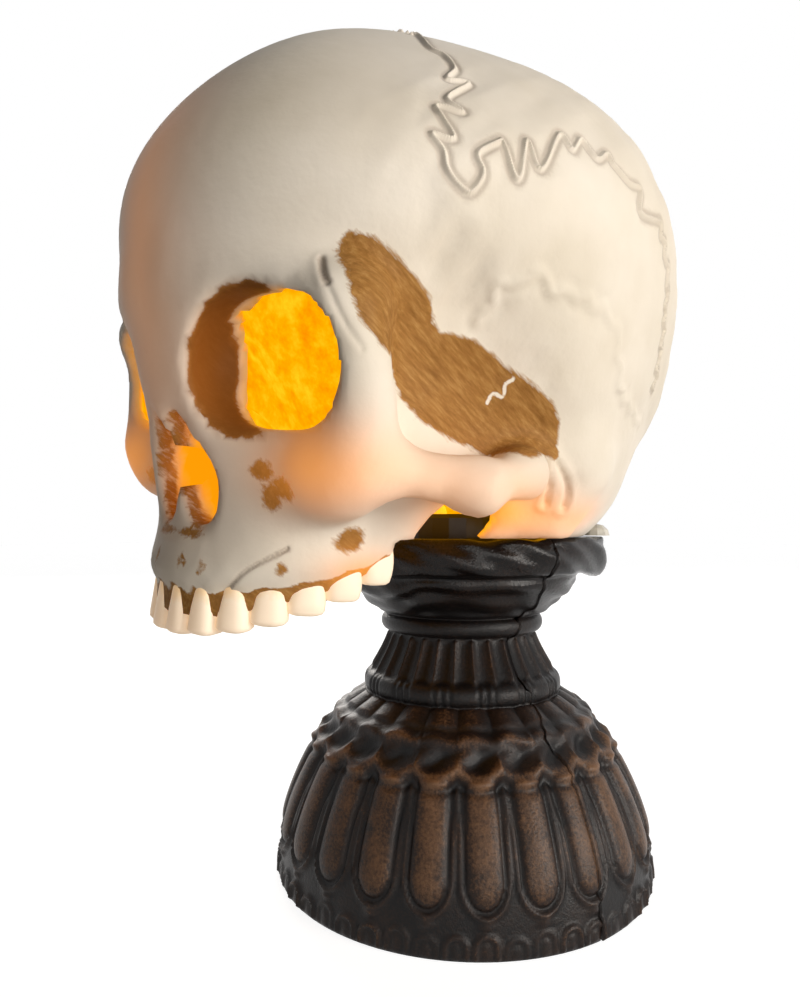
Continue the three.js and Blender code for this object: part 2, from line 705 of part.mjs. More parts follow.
// Closed body from rows of one ring each, with a fan over the top and the bottom
function ringBody(rings, lowZ, highZ) {
  const around = rings[0].length;
  const points = rings.flat(2);
  const faces = [];
  const id = (row, i) => row * around + (i % around);
  for (let row = 0; row + 1 < rings.length; row += 1) {
    for (let i = 0; i < around; i += 1) {
      faces.push(id(row, i), id(row, i + 1), id(row + 1, i + 1));
      faces.push(id(row, i), id(row + 1, i + 1), id(row + 1, i));
    }
  }
  const bottom = points.length / 3;
  points.push(0, 0, lowZ, 0, 0, highZ);
  for (let i = 0; i < around; i += 1) {
    faces.push(bottom, id(0, i + 1), id(0, i));
    faces.push(bottom + 1, id(rings.length - 1, i), id(rings.length - 1, i + 1));
  }
  const geometry = new THREE.BufferGeometry();
  geometry.setAttribute('position', new THREE.Float32BufferAttribute(points, 3));
  geometry.setIndex(faces);
  return geometry;
}

function evenAngles(count) {
  return steps(0, count - 1, count - 1).map((i) => i * 2 * Math.PI / count);
}

function panelAngles() {
  const width = 2 * Math.PI / PANELS;
  return evenAngles(PANELS).flatMap((start) => PANEL_COLUMNS.map((share) => start + share * width));
}

function ringSolid(rows, angles, turn = 0) {
  const rings = rows.map(([radius, z, kind]) => angles.map((angle) => {
    const r = radius + ornament(kind, angle, z);
    return [r * Math.cos(angle), r * Math.sin(angle), z];
  }));
  return solid(ringBody(rings, rows[0][1], rows[rows.length - 1][1]).rotateZ(SEAM + turn));
}

function pedestalOutside() {
  return ringSolid(domeRows(), panelAngles(), THREE.MathUtils.degToRad(PANEL_TURN))
    .add(ringSolid(neckRows(), evenAngles(FLUTES * 2)))
    .add(ringSolid(cupRows(), evenAngles(CUP_COLUMNS)));
}

function insideProfile(grow) {
  const dome = steps(0, DOME_TOP_Z - SHELL_WALL, 5).map((z) => [domeR(z) - SHELL_WALL + grow, z]);
  const bowl = steps(COLLAR_TOP_Z + 1, BOWL_TOP_Z, 2).map((z) => [bowlR(z) - SHELL_WALL + grow, z]);
  return [
    [0, -OVERSHOOT], [domeR(0) - SHELL_WALL + grow, -OVERSHOOT], ...dome,
    [BORE_R + 6 + grow, TORUS_Z - TORUS_HALF], [BORE_R + grow, NECK_FOOT_Z], [BORE_R + grow, CUP_FLOOR_Z],
    [CUP_FLOOR_R + grow, CUP_FLOOR_Z], ...bowl,
    [RIM_R - RIM_WALL + grow, BOWL_TOP_Z + 2], [RIM_R - RIM_WALL + grow, RIM_TOP_Z + OVERSHOOT],
    [0, RIM_TOP_Z + OVERSHOOT],
  ];
}

function bossSpots() {
  const spot = (degrees) => {
    const angle = THREE.MathUtils.degToRad(degrees) + SEAM;
    return [BOSS_CIRCLE_R * Math.cos(angle), BOSS_CIRCLE_R * Math.sin(angle)];
  };
  const angles = [REAR_BOSS_ANGLE, 180 - REAR_BOSS_ANGLE, 180 + FRONT_BOSS_ANGLE, -FRONT_BOSS_ANGLE];
  return angles.map(spot);
}

// Half of space on one side of the seam
function seamSide(side) {
  const far = 2 * (BASE_R + RIM_TOP_Z);
  const half = new THREE.BoxGeometry(2 * far, far, 2 * far);
  return solid(half.translate(0, side * (far + GAP) / 2, 0).rotateZ(SEAM));
}

function makePedestal() {
  const inside = solid(turned(insideProfile(0), INSIDE_SIDES));
  const middle = solid(turned(insideProfile(SHELL_WALL / 2), INSIDE_SIDES));
  let body = pedestalOutside().subtract(inside);
  for (const [x, y] of bossSpots()) {
    const boss = post(x, y, PLATE_T + GAP, BOSS_TOP_Z, BOSS_R, 16).intersect(middle);
    const pilot = post(x, y, PLATE_T, PLATE_T + SCREW_L, SCREW_R + GAP, 12);
    body = body.add(boss).subtract(pilot);
  }
  addPiece('pedestal_rear_shell', surface(body.intersect(seamSide(1))), 'bronze');
  addPiece('pedestal_front_shell', surface(body.intersect(seamSide(-1))), 'bronze');
}

// Lamp: holder seated on the cup floor, board on its ledge, LEDs on the board

const BOARD_Z = HOLDER_TOP_Z - LAMP_RECESS + GAP;
const RECESS_R = HOLDER_R - HOLDER_WALL;

function makeLamp() {
  const seat = CUP_FLOOR_Z + GAP;
  const stem = BORE_R - GAP;
  const bore = RECESS_R - LAMP_LEDGE;
  const ledge = HOLDER_TOP_Z - LAMP_RECESS;
  addPiece('lamp_holder', turned([
    [bore, seat - HOLDER_STEM], [stem, seat - HOLDER_STEM], [stem, seat], [HOLDER_R, seat],
    [HOLDER_R, HOLDER_TOP_Z - 1], [HOLDER_R - 1, HOLDER_TOP_Z], [RECESS_R, HOLDER_TOP_Z], [RECESS_R, ledge],
    [bore, ledge], [bore, seat - HOLDER_STEM],
  ], 24), 'black');
  const disc = RECESS_R - GAP;
  const board = [[0, BOARD_Z], [disc, BOARD_Z], [disc, BOARD_Z + BOARD_T], [0, BOARD_Z + BOARD_T]];
  addPiece('led_board', turned(board, 24), 'board');
  const foot = BOARD_Z + BOARD_T + GAP;
  const shoulder = foot + LED_BODY;
  const dome = steps(0, Math.PI / 2, 3).map((a) => [LED_R * Math.cos(a), shoulder + LED_R * Math.sin(a)]);
  for (let i = 0; i < LED_COUNT; i += 1) {
    const angle = i * 2 * Math.PI / LED_COUNT + Math.PI / 2;
    const led = turned([[0, foot], [LED_FLANGE_R, foot], [LED_FLANGE_R, foot + LED_FLANGE_T],
      [LED_R, foot + LED_FLANGE_T], ...dome], 10);
    led.translate(LED_CIRCLE_R * Math.cos(angle), LED_CIRCLE_R * Math.sin(angle), 0);
    addPiece(`led_${i + 1}`, led, 'led');
  }
}

// Base plate with its battery bay, door lug boss and switch cradle

const BAY_X = BAY_L / 2;
const BAY_Y0 = BAY_Y - BAY_W / 2;
const BAY_Y1 = BAY_Y + BAY_W / 2;
const BAY_TOP_Z = PLATE_T + BAY_H;
const LUG_X = BAY_X + BAY_WALL + LUG_L / 2;
const DOOR_TOP_Z = DOOR_INSET + DOOR_T;

function screwSeat(x, y, z0, clear) {
  return post(x, y, z0 - OVERSHOOT, z0 + SCREW_HEAD_T + GAP, SCREW_HEAD_R + GAP, 16)
    .add(post(x, y, z0 - OVERSHOOT, PLATE_T + OVERSHOOT, SCREW_R + clear, 12));
}

function makePlate() {
  const radius = (domeR(PLATE_T) - SHELL_WALL) * Math.cos(Math.PI / INSIDE_SIDES) - GAP;
  const lugX1 = BAY_X + BAY_WALL + LUG_L;
  const lugY = LUG_W / 2;
  let body = post(0, 0, 0, PLATE_T, radius, 36);
  body = body.add(block(-BAY_X - BAY_WALL, BAY_X + BAY_WALL, BAY_Y0 - BAY_WALL, BAY_Y1 + BAY_WALL,
    PLATE_T / 2, BAY_TOP_Z + BAY_WALL));
  body = body.add(block(BAY_X, lugX1 + BAY_WALL, BAY_Y - lugY - BAY_WALL, BAY_Y + lugY + BAY_WALL,
    PLATE_T / 2, PLATE_T + LUG_BOSS_H));
  body = body.subtract(block(-BAY_X, BAY_X, BAY_Y0, BAY_Y1, -OVERSHOOT, BAY_TOP_Z));
  body = body.subtract(block(0, lugX1, BAY_Y - lugY, BAY_Y + lugY, -OVERSHOOT, DOOR_TOP_Z + GAP));
  body = body.subtract(post(LUG_X, BAY_Y, 0, DOOR_TOP_Z + DOOR_SCREW_L, SCREW_R + DOOR_SWING_CLEAR, 16));
  const hookZ1 = PLATE_T + GAP + HOOK_T + HOOK_REACH;
  const hookY = HOOK_W / 2 + DOOR_GAP;
  body = body.subtract(block(-BAY_X - BAY_WALL - OVERSHOOT, -BAY_X + OVERSHOOT,
    BAY_Y - hookY, BAY_Y + hookY, PLATE_T, hookZ1));
  const cradleX = SWITCH_L / 2 + GAP;
  for (const side of [-1, 1]) {
    const x0 = side > 0 ? cradleX : -cradleX - CRADLE_T;
    body = body.add(block(x0, x0 + CRADLE_T, SWITCH_Y - SWITCH_W / 2, SWITCH_Y + SWITCH_W / 2,
      PLATE_T / 2, PLATE_T + CRADLE_H));
  }
  const slot = (KNOB_L + SWITCH_TRAVEL) / 2 + GAP;
  body = body.subtract(block(-slot, slot, SWITCH_Y - KNOB_W / 2 - GAP, SWITCH_Y + KNOB_W / 2 + GAP,
    -OVERSHOOT, PLATE_T + OVERSHOOT));
  for (const [x, y] of bossSpots()) body = body.subtract(screwSeat(x, y, 0, GAP));
  addPiece('base_plate', surface(body), 'black');
}

function makeDoor() {
  const x0 = -BAY_X + DOOR_GAP;
  const x1 = BAY_X - DOOR_GAP;
  const lugX1 = BAY_X + BAY_WALL + LUG_L - DOOR_GAP;
  const half = LUG_W / 2 - DOOR_GAP;
  let body = block(x0, x1, BAY_Y0 + DOOR_GAP, BAY_Y1 - DOOR_GAP, DOOR_INSET, DOOR_TOP_Z);
  body = body.add(block(0, lugX1, BAY_Y - half, BAY_Y + half, DOOR_INSET, DOOR_TOP_Z));
  const hookY0 = BAY_Y - HOOK_W / 2;
  const hookY1 = BAY_Y + HOOK_W / 2;
  const hookZ0 = PLATE_T + GAP;
  body = body.add(block(x0, x0 + HOOK_T, hookY0, hookY1, DOOR_INSET, hookZ0 + HOOK_T));
  body = body.add(block(x0 - HOOK_REACH, x0 + HOOK_T, hookY0, hookY1, hookZ0, hookZ0 + HOOK_T));
  body = body.subtract(screwSeat(LUG_X, BAY_Y, DOOR_INSET, GAP));
  addPiece('battery_door', surface(body), 'black');
}

function screw(x, y, z0, length) {
  const head = z0 + SCREW_HEAD_T;
  const profile = [[0, z0], [SCREW_HEAD_R, z0], [SCREW_HEAD_R, head], [SCREW_R, head],
    [SCREW_R, z0 + length - 1], [0, z0 + length]];
  return turned(profile, 10).translate(x, y, 0);
}

function makeScrews() {
  bossSpots().forEach(([x, y], i) => addPiece(`base_screw_${i + 1}`, screw(x, y, GAP, SCREW_L), 'steel'));
  addPiece('door_screw', screw(LUG_X, BAY_Y, DOOR_INSET + GAP, DOOR_SCREW_L), 'steel');
}

// Batteries side by side, facing opposite ways, each between a flat contact and a spring

const CELL_Z = DOOR_TOP_Z + CELL_LIFT + CELL_R;

function spring(length) {
  const points = steps(0, SPRING_TURNS * 12, SPRING_TURNS * 12).map((i) => {
    const angle = i * Math.PI / 6;
    const radius = SPRING_R * (1 - SPRING_TAPER * i / (SPRING_TURNS * 12));
    const x = SPRING_WIRE_R + (length - 2 * SPRING_WIRE_R) * i / (SPRING_TURNS * 12);
    return new THREE.Vector3(x, radius * Math.cos(angle), radius * Math.sin(angle));
  });
  return tube(new THREE.CatmullRomCurve3(points), SPRING_WIRE_R, 4, SPRING_TURNS * 8);
}

function makeBatteries() {
  const flatX = BAY_X - GAP - CONTACT_T;
  const tip = flatX - GAP;
  const top = CELL_L - CELL_NUB_L;
  const cell = turned([[0, 0], [CELL_R - CELL_ROUND, 0], [CELL_R, CELL_ROUND], [CELL_R, top - CELL_ROUND],
    [CELL_R - CELL_ROUND, top], [CELL_NUB_R, top], [CELL_NUB_R, CELL_L], [0, CELL_L]], 16);
  cell.rotateY(Math.PI / 2).translate(tip - CELL_L, 0, 0);
  const length = tip - CELL_L + BAY_X - 2 * GAP;
  [1, -1].forEach((side, i) => {
    const y = BAY_Y + side * CELL_PITCH / 2;
    const turn = side > 0 ? 0 : Math.PI;
    const place = (geometry) => geometry.rotateZ(turn).translate(0, y, CELL_Z);
    const plate = new THREE.BoxGeometry(CONTACT_T, CONTACT_W, CONTACT_H);
    plate.translate(flatX + CONTACT_T / 2, 0, 0);
    addPiece(`battery_${i + 1}`, place(cell.clone()), 'cell');
    addPiece(`flat_contact_${i + 1}`, place(plate), 'steel');
    addPiece(`spring_contact_${i + 1}`, place(spring(length).translate(-BAY_X + GAP, 0, 0)), 'steel');
  });
}

// Slide switch: body over the slot, slider inside it with its knob in the slot

function makeSwitch() {
  const z0 = PLATE_T + GAP;
  const sliderTop = z0 + SLIDER_T;
  const long = SWITCH_L / 2;
  const wide = SWITCH_W / 2;
  const inner = wide - SWITCH_WALL;
  const body = block(-long, long, SWITCH_Y - wide, SWITCH_Y + wide, z0, z0 + SWITCH_H);
  const cavity = block(-long + SWITCH_WALL, long - SWITCH_WALL, SWITCH_Y - inner, SWITCH_Y + inner,
    z0 - OVERSHOOT, sliderTop + 2 * GAP);
  addPiece('switch_body', surface(body.subtract(cavity)), 'steel');
  const on = SWITCH_TRAVEL / 2;
  const flange = inner - GAP;
  const slider = block(on - SLIDER_L / 2, on + SLIDER_L / 2, SWITCH_Y - flange, SWITCH_Y + flange,
    z0, sliderTop);
  const knob = block(on - KNOB_L / 2, on + KNOB_L / 2, SWITCH_Y - KNOB_W / 2, SWITCH_Y + KNOB_W / 2,
    KNOB_INSET, sliderTop);
  addPiece('switch_slider', surface(slider.add(knob)), 'black');
}

// Leads from the bay and the switch up through the neck to the board, and one between the two

function lead(points) {
  const curve = new THREE.CatmullRomCurve3(points.map((p) => new THREE.Vector3(...p)));
  return tube(curve, LEAD_R, 4, LEAD_STEPS);
}

function makeLeads() {
  const board = BOARD_Z - GAP;
  const roof = BAY_TOP_Z + BAY_WALL + GAP;
  const cap = PLATE_T + SWITCH_H + 2 * GAP;
  const gather = NECK_FOOT_Z - LEAD_GATHER;
  const edge = BAY_Y - CELL_PITCH / 2;
  const up = (x, y) => [[x, y, gather], [x, y / 2, NECK_FOOT_Z], [x, y / 2, NECK_TOP_Z], [x, y / 2, board]];
  const red = [[LEAD_SIDE, edge, roof], [LEAD_SIDE, edge, roof + LEAD_RISE], ...up(LEAD_SIDE, LEAD_TURN)];
  const black = [[-LEAD_SIDE, SWITCH_Y, cap], [-LEAD_SIDE, SWITCH_Y, cap + LEAD_RISE],
    ...up(-LEAD_SIDE, -LEAD_TURN)];
  const over = [[0, SWITCH_Y, cap], [0, SWITCH_Y, cap + LEAD_RISE], [0, SWITCH_Y / 2, roof + LEAD_RISE],
    [0, 0, roof + LEAD_RISE], [0, edge, roof + LEAD_RISE / 2], [0, edge, roof]];
  addPiece('red_lead', lead(red), 'red');
  addPiece('black_lead', lead(black), 'lead');
  addPiece('switch_lead', lead(over), 'lead');
}

// Beads of hot glue between the rim and the skull: one on the rim's ear, one at the back

function makeGlue(skull) {
  const seat = RIM_TOP_Z + GAP;
  const rise = steps(0, Math.PI / 2, 3).map((a) => [GLUE_R * Math.cos(a), seat + GLUE_H * Math.sin(a)]);
  const spots = [[EAR_ANGLE, RIM_R + EAR_REACH - GLUE_R / 2], [REAR_GLUE_ANGLE, RIM_R - GAP]];
  spots.forEach(([degrees, reach], i) => {
    const angle = THREE.MathUtils.degToRad(degrees) + SEAM;
    const outX = Math.cos(angle);
    const outY = Math.sin(angle);
    const bead = turned([[0, seat], ...rise], 10).translate(outX * reach, outY * reach, 0);
    const clear = skull.translate([outX * GAP, outY * GAP, -GAP]);
    addPiece(`glue_bead_${i + 1}`, surface(solid(bead).subtract(clear)), 'glue');
  });
}

const skull = skullOutside();
makeSkull(skull);
makePedestal();
makeLamp();
makePlate();
makeDoor();
makeScrews();
makeBatteries();
makeSwitch();
makeLeads();
makeGlue(skull);

export default part;
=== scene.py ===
# %% [markdown]
# # A light-up skull decoration
# The real object is a hollow skull without its jaw, moulded in thin translucent plastic and touched up
# with brown paint. It is glued at a slight lean into the cup of a dark pedestal, and a small battery lamp
# lights it from inside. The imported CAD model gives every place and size, so this scene only adds the looks.

# %% Load the frame
import json
import math

import bpy
import numpy as np
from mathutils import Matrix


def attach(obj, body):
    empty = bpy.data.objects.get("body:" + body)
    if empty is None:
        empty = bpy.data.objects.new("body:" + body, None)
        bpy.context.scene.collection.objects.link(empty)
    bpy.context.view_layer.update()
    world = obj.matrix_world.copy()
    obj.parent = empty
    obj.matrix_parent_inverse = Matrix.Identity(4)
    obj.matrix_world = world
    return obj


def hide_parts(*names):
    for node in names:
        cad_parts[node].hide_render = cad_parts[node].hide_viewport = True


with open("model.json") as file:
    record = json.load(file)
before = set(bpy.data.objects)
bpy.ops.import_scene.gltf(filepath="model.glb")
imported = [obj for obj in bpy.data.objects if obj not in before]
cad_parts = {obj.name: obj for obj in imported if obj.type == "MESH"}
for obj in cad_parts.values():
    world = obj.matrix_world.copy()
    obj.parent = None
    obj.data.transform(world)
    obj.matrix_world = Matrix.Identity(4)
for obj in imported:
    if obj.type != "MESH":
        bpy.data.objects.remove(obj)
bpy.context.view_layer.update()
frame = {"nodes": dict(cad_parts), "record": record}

# %% [markdown]
# ## Working in millimetres
# All shapes below are numpy arrays in millimetres. One helper turns such an array into a mesh in metres,
# with its place in the vertices, so the object itself stays at the origin, unturned and unscaled.

# %% From arrays to a mesh
MM = 0.001


def put_mesh(name, points, loops, starts):
    """Object from points (n, 3) in millimetres; face k runs over loops from starts[k] to starts[k + 1]."""
    mesh = bpy.data.meshes.new(name)
    mesh.vertices.add(len(points))
    mesh.vertices.foreach_set("co", (np.asarray(points) * MM).astype(np.float32).ravel())
    mesh.loops.add(len(loops))
    mesh.loops.foreach_set("vertex_index", np.asarray(loops, np.int32))
    mesh.polygons.add(len(starts))
    mesh.polygons.foreach_set("loop_start", np.asarray(starts, np.int32))
    mesh.update(calc_edges=True)
    mesh.shade_smooth()
    piece = bpy.data.objects.new(name, mesh)
    bpy.context.scene.collection.objects.link(piece)
    return piece


def point_values(piece, name, values):
    """Stores one number for each vertex as an attribute that a material can read."""
    layer = piece.data.attributes.new(name, "FLOAT", "POINT")
    layer.data.foreach_set("value", np.asarray(values, np.float32))


print("one unit of the arrays is", MM, "m")

# %% [markdown]
# ## The camera
# The photograph was taken from the front left of the skull, close to it and a little above the cup. The
# camera stands at the same place, so that the near parts look as large as they do there.

# %% Place the camera
PICTURE_HEIGHT = 997
FOCAL_PIXELS = 740
CAMERA_PLACE = (0.1331, -0.1559, 0.0910)
CAMERA_TURN = (math.radians(91.8), 0.0, math.radians(45.2))

camera = bpy.data.objects.new("camera", bpy.data.cameras.new("camera"))
camera.data.sensor_width = 36
camera.data.lens = FOCAL_PIXELS / PICTURE_HEIGHT * camera.data.sensor_width
camera.data.clip_start = 0.01
camera.location = CAMERA_PLACE
camera.rotation_euler = CAMERA_TURN
bpy.context.scene.collection.objects.link(camera)
bpy.context.scene.camera = camera
print("focal length", round(camera.data.lens, 2), "mm")

# %% [markdown]
# ## Skull: soft masses that melt together
# A skull has arches, sockets and a hollow inside, so no single grid of two parameters can cover it. It is
# made as a sculptor builds up clay instead: every mass is a distance field (negative inside), and a smooth
# minimum melts one into the next. The masses follow those of the CAD model, in the skull's own upright
# frame. The wall is a little thicker than the real one, so that the grid below never breaks through it.

# %% Distance fields
LEAN = math.radians(5)
SEAT = 87.0
WALL = 3.2


def melt(a, b, width):
    """Smooth minimum: the lower field, pulled down by up to width / 4 where the two are nearly equal."""
    h = np.maximum(width - np.abs(a - b), 0) / width
    return np.minimum(a, b) - h * h * width * 0.25


def carve(a, b, width):
    """Takes field b out of field a with an edge rounded over the given width."""
    return -melt(-a, b, width)


def egg(p, at, half, tilt=0.0, toe=0.0):
    """Egg: k (k - 1) / g, with k the point's length in half axes and g the length in squared half axes."""
    x, y, z = (p[i] - at[i] for i in range(3))
    c, s = math.cos(math.radians(tilt)), math.sin(math.radians(tilt))
    y, z = y * c + z * s, z * c - y * s
    c, s = math.cos(math.radians(toe)), math.sin(math.radians(toe))
    x, y = x * c + y * s, y * c - x * s
    k = np.sqrt((x / half[0]) ** 2 + (y / half[1]) ** 2 + (z / half[2]) ** 2)
    g = np.sqrt((x / half[0] ** 2) ** 2 + (y / half[1] ** 2) ** 2 + (z / half[2] ** 2) ** 2)
    return k * (k - 1) / np.maximum(g, 1e-9)


def pillow(p, at, half):
    """Square egg: the same with third powers, which fill the corners."""
    k = sum(np.abs((p[i] - at[i]) / half[i]) ** 3 for i in range(3)) ** (1 / 3)
    return (k - 1) * min(half)


def rod(p, a, b, ra, rb):
    """Round rod: distance to the line from a to b, less a radius that runs from ra to rb."""
    ab = [b[i] - a[i] for i in range(3)]
    ap = [p[i] - a[i] for i in range(3)]
    t = (ap[0] * ab[0] + ap[1] * ab[1] + ap[2] * ab[2]) / sum(v * v for v in ab)
    t = np.clip(t, 0, 1)
    off = np.sqrt(sum((ap[i] - t * ab[i]) ** 2 for i in range(3)))
    return off - (ra + (rb - ra) * t)


def leaned(points):
    """Turns upright skull points about the seat to the lean they have on the cup."""
    x, z = points[:, 0], points[:, 2] - SEAT
    c, s = math.cos(LEAN), math.sin(LEAN)
    return np.stack([x * c + z * s, points[:, 1], SEAT - x * s + z * c], 1)


print("the skull leans", round(math.degrees(LEAN), 1), "degrees about a height of", SEAT, "mm")

# %% The head
# An egg is its middle, half axes and tilt in degrees, and a rod is its two ends and the radius at each. The
# last number of either is how softly it melts into the rest.
MIDDLE_SOFT = 5.0
FOREHEAD = ((0, -35.8, 136.8), (43.7, 58.6, 64.5))
UPPER_VAULT = ((0, -40.5, 152.7), (52.1, 51.3, 29.3), 0, 14)
CROWN_OF_HEAD = ((19, -8.7, 158.2), (34.2, 40.8, 34.9), 0, 24)
BACK_OF_HEAD = ((0, 21, 133.5), (38, 43.5, 37.5), 0, 30)
SIDE_OF_HEAD = ((0, -19, 126.2), (45.5, 42.7, 31.2), 0, 20)
BASE_OF_HEAD = ((0, -2, 106), (41, 40, 28), 0, 12)
TEMPLE_HOLLOW = ((58, -51, 118), (18, 29, 15), -30, 12)
BROW = ((6, -86, 136), (34, -77, 131), 6.5, 5.5, 7)
EYE_PILLAR = ((36, -74, 130), (38, -72, 108), 5.6, 6, 6)
FACE = ((0, -65, 98), (27, 20, 28), 0, 8)
UPPER_JAW = ((0, -60.5, 88), (26.5, 26.5, 9.5), 14, 6)
CHEEK = ((31, -71, 103), (10, 8.3, 9), 0, 7)
MASTOID = ((39, -12, 106), (37, -14, 95), 9, 5.5, 8)
NOSE_BONE = ((0, -82, 127), (0, -86, 113), 4.0, 3.4, 4)


def mirrored(p):
    """The same point on the left side of the head, so that both sides are alike."""
    return np.abs(p[0]), p[1], p[2]


def melt_eggs(f, p, eggs):
    """Melts eggs one after the other into a field."""
    for at, half, tilt, soft in eggs:
        f = melt(f, egg(p, at, half, tilt), soft)
    return f


def melt_rods(f, p, rods):
    """Melts rods one after the other into a field."""
    for *shape, soft in rods:
        f = melt(f, rod(p, *shape), soft)
    return f


def cranium(p):
    """Vault, forehead, sides, back and base of the head, with the hollow of the temple taken out."""
    p = (np.sqrt(p[0] ** 2 + MIDDLE_SOFT ** 2), p[1], p[2])
    eggs = (UPPER_VAULT, CROWN_OF_HEAD, BACK_OF_HEAD, SIDE_OF_HEAD, BASE_OF_HEAD)
    f = melt_eggs(egg(p, *FOREHEAD), p, eggs)
    at, half, tilt, soft = TEMPLE_HOLLOW
    return carve(f, egg(p, at, half, tilt), soft)


def head(p):
    """Cranium, brow, cheeks, upper jaw and nose bone: the masses that the hollow follows."""
    f = cranium(p)
    p = mirrored(p)
    f = melt_rods(f, p, (BROW, EYE_PILLAR))
    f = melt_eggs(f, p, (FACE, UPPER_JAW, CHEEK))
    return melt_rods(f, p, (MASTOID, NOSE_BONE))


print("the forehead's middle lies", round(-float(head(FOREHEAD[0])), 1), "mm inside the head")

# %% The dental arch
TEETH_PER_SIDE = 7
TEETH_HALF_WIDTH = 23.5
TEETH_FRONT_Y, TEETH_BACK_Y = -84.0, -50.0
TEETH_FRONT_Z, TEETH_BACK_Z = 77.5, 90.0
TEETH_LONG = TEETH_BACK_Y - TEETH_FRONT_Y
TEETH_RISE = TEETH_BACK_Z - TEETH_FRONT_Z
ARCH_END = TEETH_BACK_Y - 2
BAND_HALF, BAND_MIDDLE, BAND_HALF_HIGH = 1.7, 3.0, 7.5
GUM_FRONT, GUM_FALL, GUM_WAVE = 1.9, 4.2, 0.4
LIP_R = 2.3


def tooth_places():
    """Middle, turn and width of each crown on one side: equal turns along a quarter ellipse that rises."""
    along = (np.arange(TEETH_PER_SIDE) + 0.5) / TEETH_PER_SIDE
    swing = along * math.pi / 2
    x = TEETH_HALF_WIDTH * np.sin(swing)
    y = TEETH_BACK_Y - TEETH_LONG * np.cos(swing)
    z = TEETH_FRONT_Z + TEETH_RISE * along ** 2
    speed = np.hypot(TEETH_HALF_WIDTH * np.cos(swing), TEETH_LONG * np.sin(swing))
    return np.stack([x, y, z], 1), swing, speed * math.pi / 2 / TEETH_PER_SIDE


def along_arch(p):
    """Share of the way along the dental arch, from 0 at the front to 1 at the back."""
    ahead = np.maximum(TEETH_BACK_Y - p[1], 1e-3) / TEETH_LONG
    return np.arctan2(np.abs(p[0]) / TEETH_HALF_WIDTH, ahead) * 2 / math.pi


def off_arch(p):
    """Distance from the dental arch in plan."""
    ahead = np.minimum(p[1] - TEETH_BACK_Y, 0) / TEETH_LONG
    return np.abs(np.hypot(p[0] / TEETH_HALF_WIDTH, ahead) - 1) * TEETH_HALF_WIDTH


def tooth_band(p):
    """Solid ridge behind the crowns: a band of even thickness that follows the arch and rises with it."""
    middle = TEETH_FRONT_Z + TEETH_RISE * along_arch(p) ** 2
    height = np.abs(p[2] - middle - BAND_MIDDLE) - BAND_HALF_HIGH
    return np.maximum.reduce([off_arch(p) - BAND_HALF, height, p[1] - ARCH_END])


def gum_height(p):
    """Height of the gum line: it rises more slowly than the teeth and dips between the crowns."""
    along = along_arch(p)
    rise = TEETH_FRONT_Z + TEETH_RISE * along ** 2
    return rise + GUM_FRONT - GUM_FALL * along - GUM_WAVE * np.cos(2 * math.pi * TEETH_PER_SIDE * along)


def gum_lip(p):
    """Round edge of the gum, a roll whose underside is the gum line."""
    roll = np.hypot(off_arch(p), p[2] - gum_height(p) - LIP_R) - LIP_R
    return np.maximum(roll, p[1] - ARCH_END)


print("crown widths in mm, from the front:", np.round(tooth_places()[2], 1))

# %% The bone
CHEEK_ARCH = [(37, -68, 104), (47.5, -52, 101.5), (45.5, -37, 104.5), (35, -17, 108)]
CHEEK_ARCH_R = (4.4, 4.2)
CHEEK_ARCH_SOFT = 5
ROOT_FOOT, ROOT_TOP = 5, 16
ROOT_SHARE = (0.45, 0.3)
ROOT_INWARD = 0.93
ROOT_SINK, ROOT_BACK, ROOT_LEAN = 0.5, 0.8, 2.4
ROOT_SOFT, LIP_SOFT, BAND_SOFT = 1.8, 2.5, 0.8


def bone(p):
    """The whole outside of the skull before sockets and openings: the head, cheek arches, roots and gum."""
    f = head(p)
    p = mirrored(p)
    for a, b in zip(CHEEK_ARCH, CHEEK_ARCH[1:]):
        f = melt(f, rod(p, a, b, *CHEEK_ARCH_R), CHEEK_ARCH_SOFT)
    for (x, y, z), turn, wide in zip(*tooth_places()):
        foot = (x, y + ROOT_SINK, z + ROOT_FOOT)
        top = (x * ROOT_INWARD, y + ROOT_BACK + ROOT_LEAN * math.cos(turn), z + ROOT_TOP)
        f = melt(f, rod(p, foot, top, wide * ROOT_SHARE[0], wide * ROOT_SHARE[1]), ROOT_SOFT)
    f = melt(f, gum_lip(p), LIP_SOFT)
    return melt(f, tooth_band(p), BAND_SOFT)


print("cheek arch of", len(CHEEK_ARCH) - 1, "rods, and", TEETH_PER_SIDE, "roots on each side")

# %% Sockets, hollow and openings
ORBIT = ((22.3, -86.5, 120.0), (16, 8.5, 13.1))
ORBIT_TOE = -16
ORBIT_HOLE = ((23.4, -79, 121.2), (14.6, 14, 11.7))
NOSTRIL = ((6.0, -82, 98.8), (5.2, 16, 7.6))
NOSE_TOP = ((3.2, -84, 105.5), (2.8, 13, 7.2))
EAR_PIT = ((46.5, -29.5, 106.5), (4.0, 3.0, 3.0))
PALATE = ((0, -57, 72), (15, 22, 11))
JAW_GAP = ((38, -38, 84), (16, 13, 16))
GUM_TOP = 97.5
UNDERSIDE_FRONT = -52.0
UNDERSIDE = SEAT + 0.3
BASE_HOLE = (27.0, 35.0, -8.0)
ORBIT_EDGE, NOSE_EDGE, PALATE_EDGE, HOLE_EDGE, GAP_EDGE, PIT_EDGE = 3, 2, 3, 0.8, 3, 1.5
NOSE_SOFT = 4


def recesses(p):
    """Eye sockets and nose: fields of the eggs that are pressed into the face."""
    p = mirrored(p)
    nose = melt(egg(p, *NOSTRIL), egg(p, *NOSE_TOP), NOSE_SOFT)
    return egg(p, *ORBIT, toe=ORBIT_TOE), nose


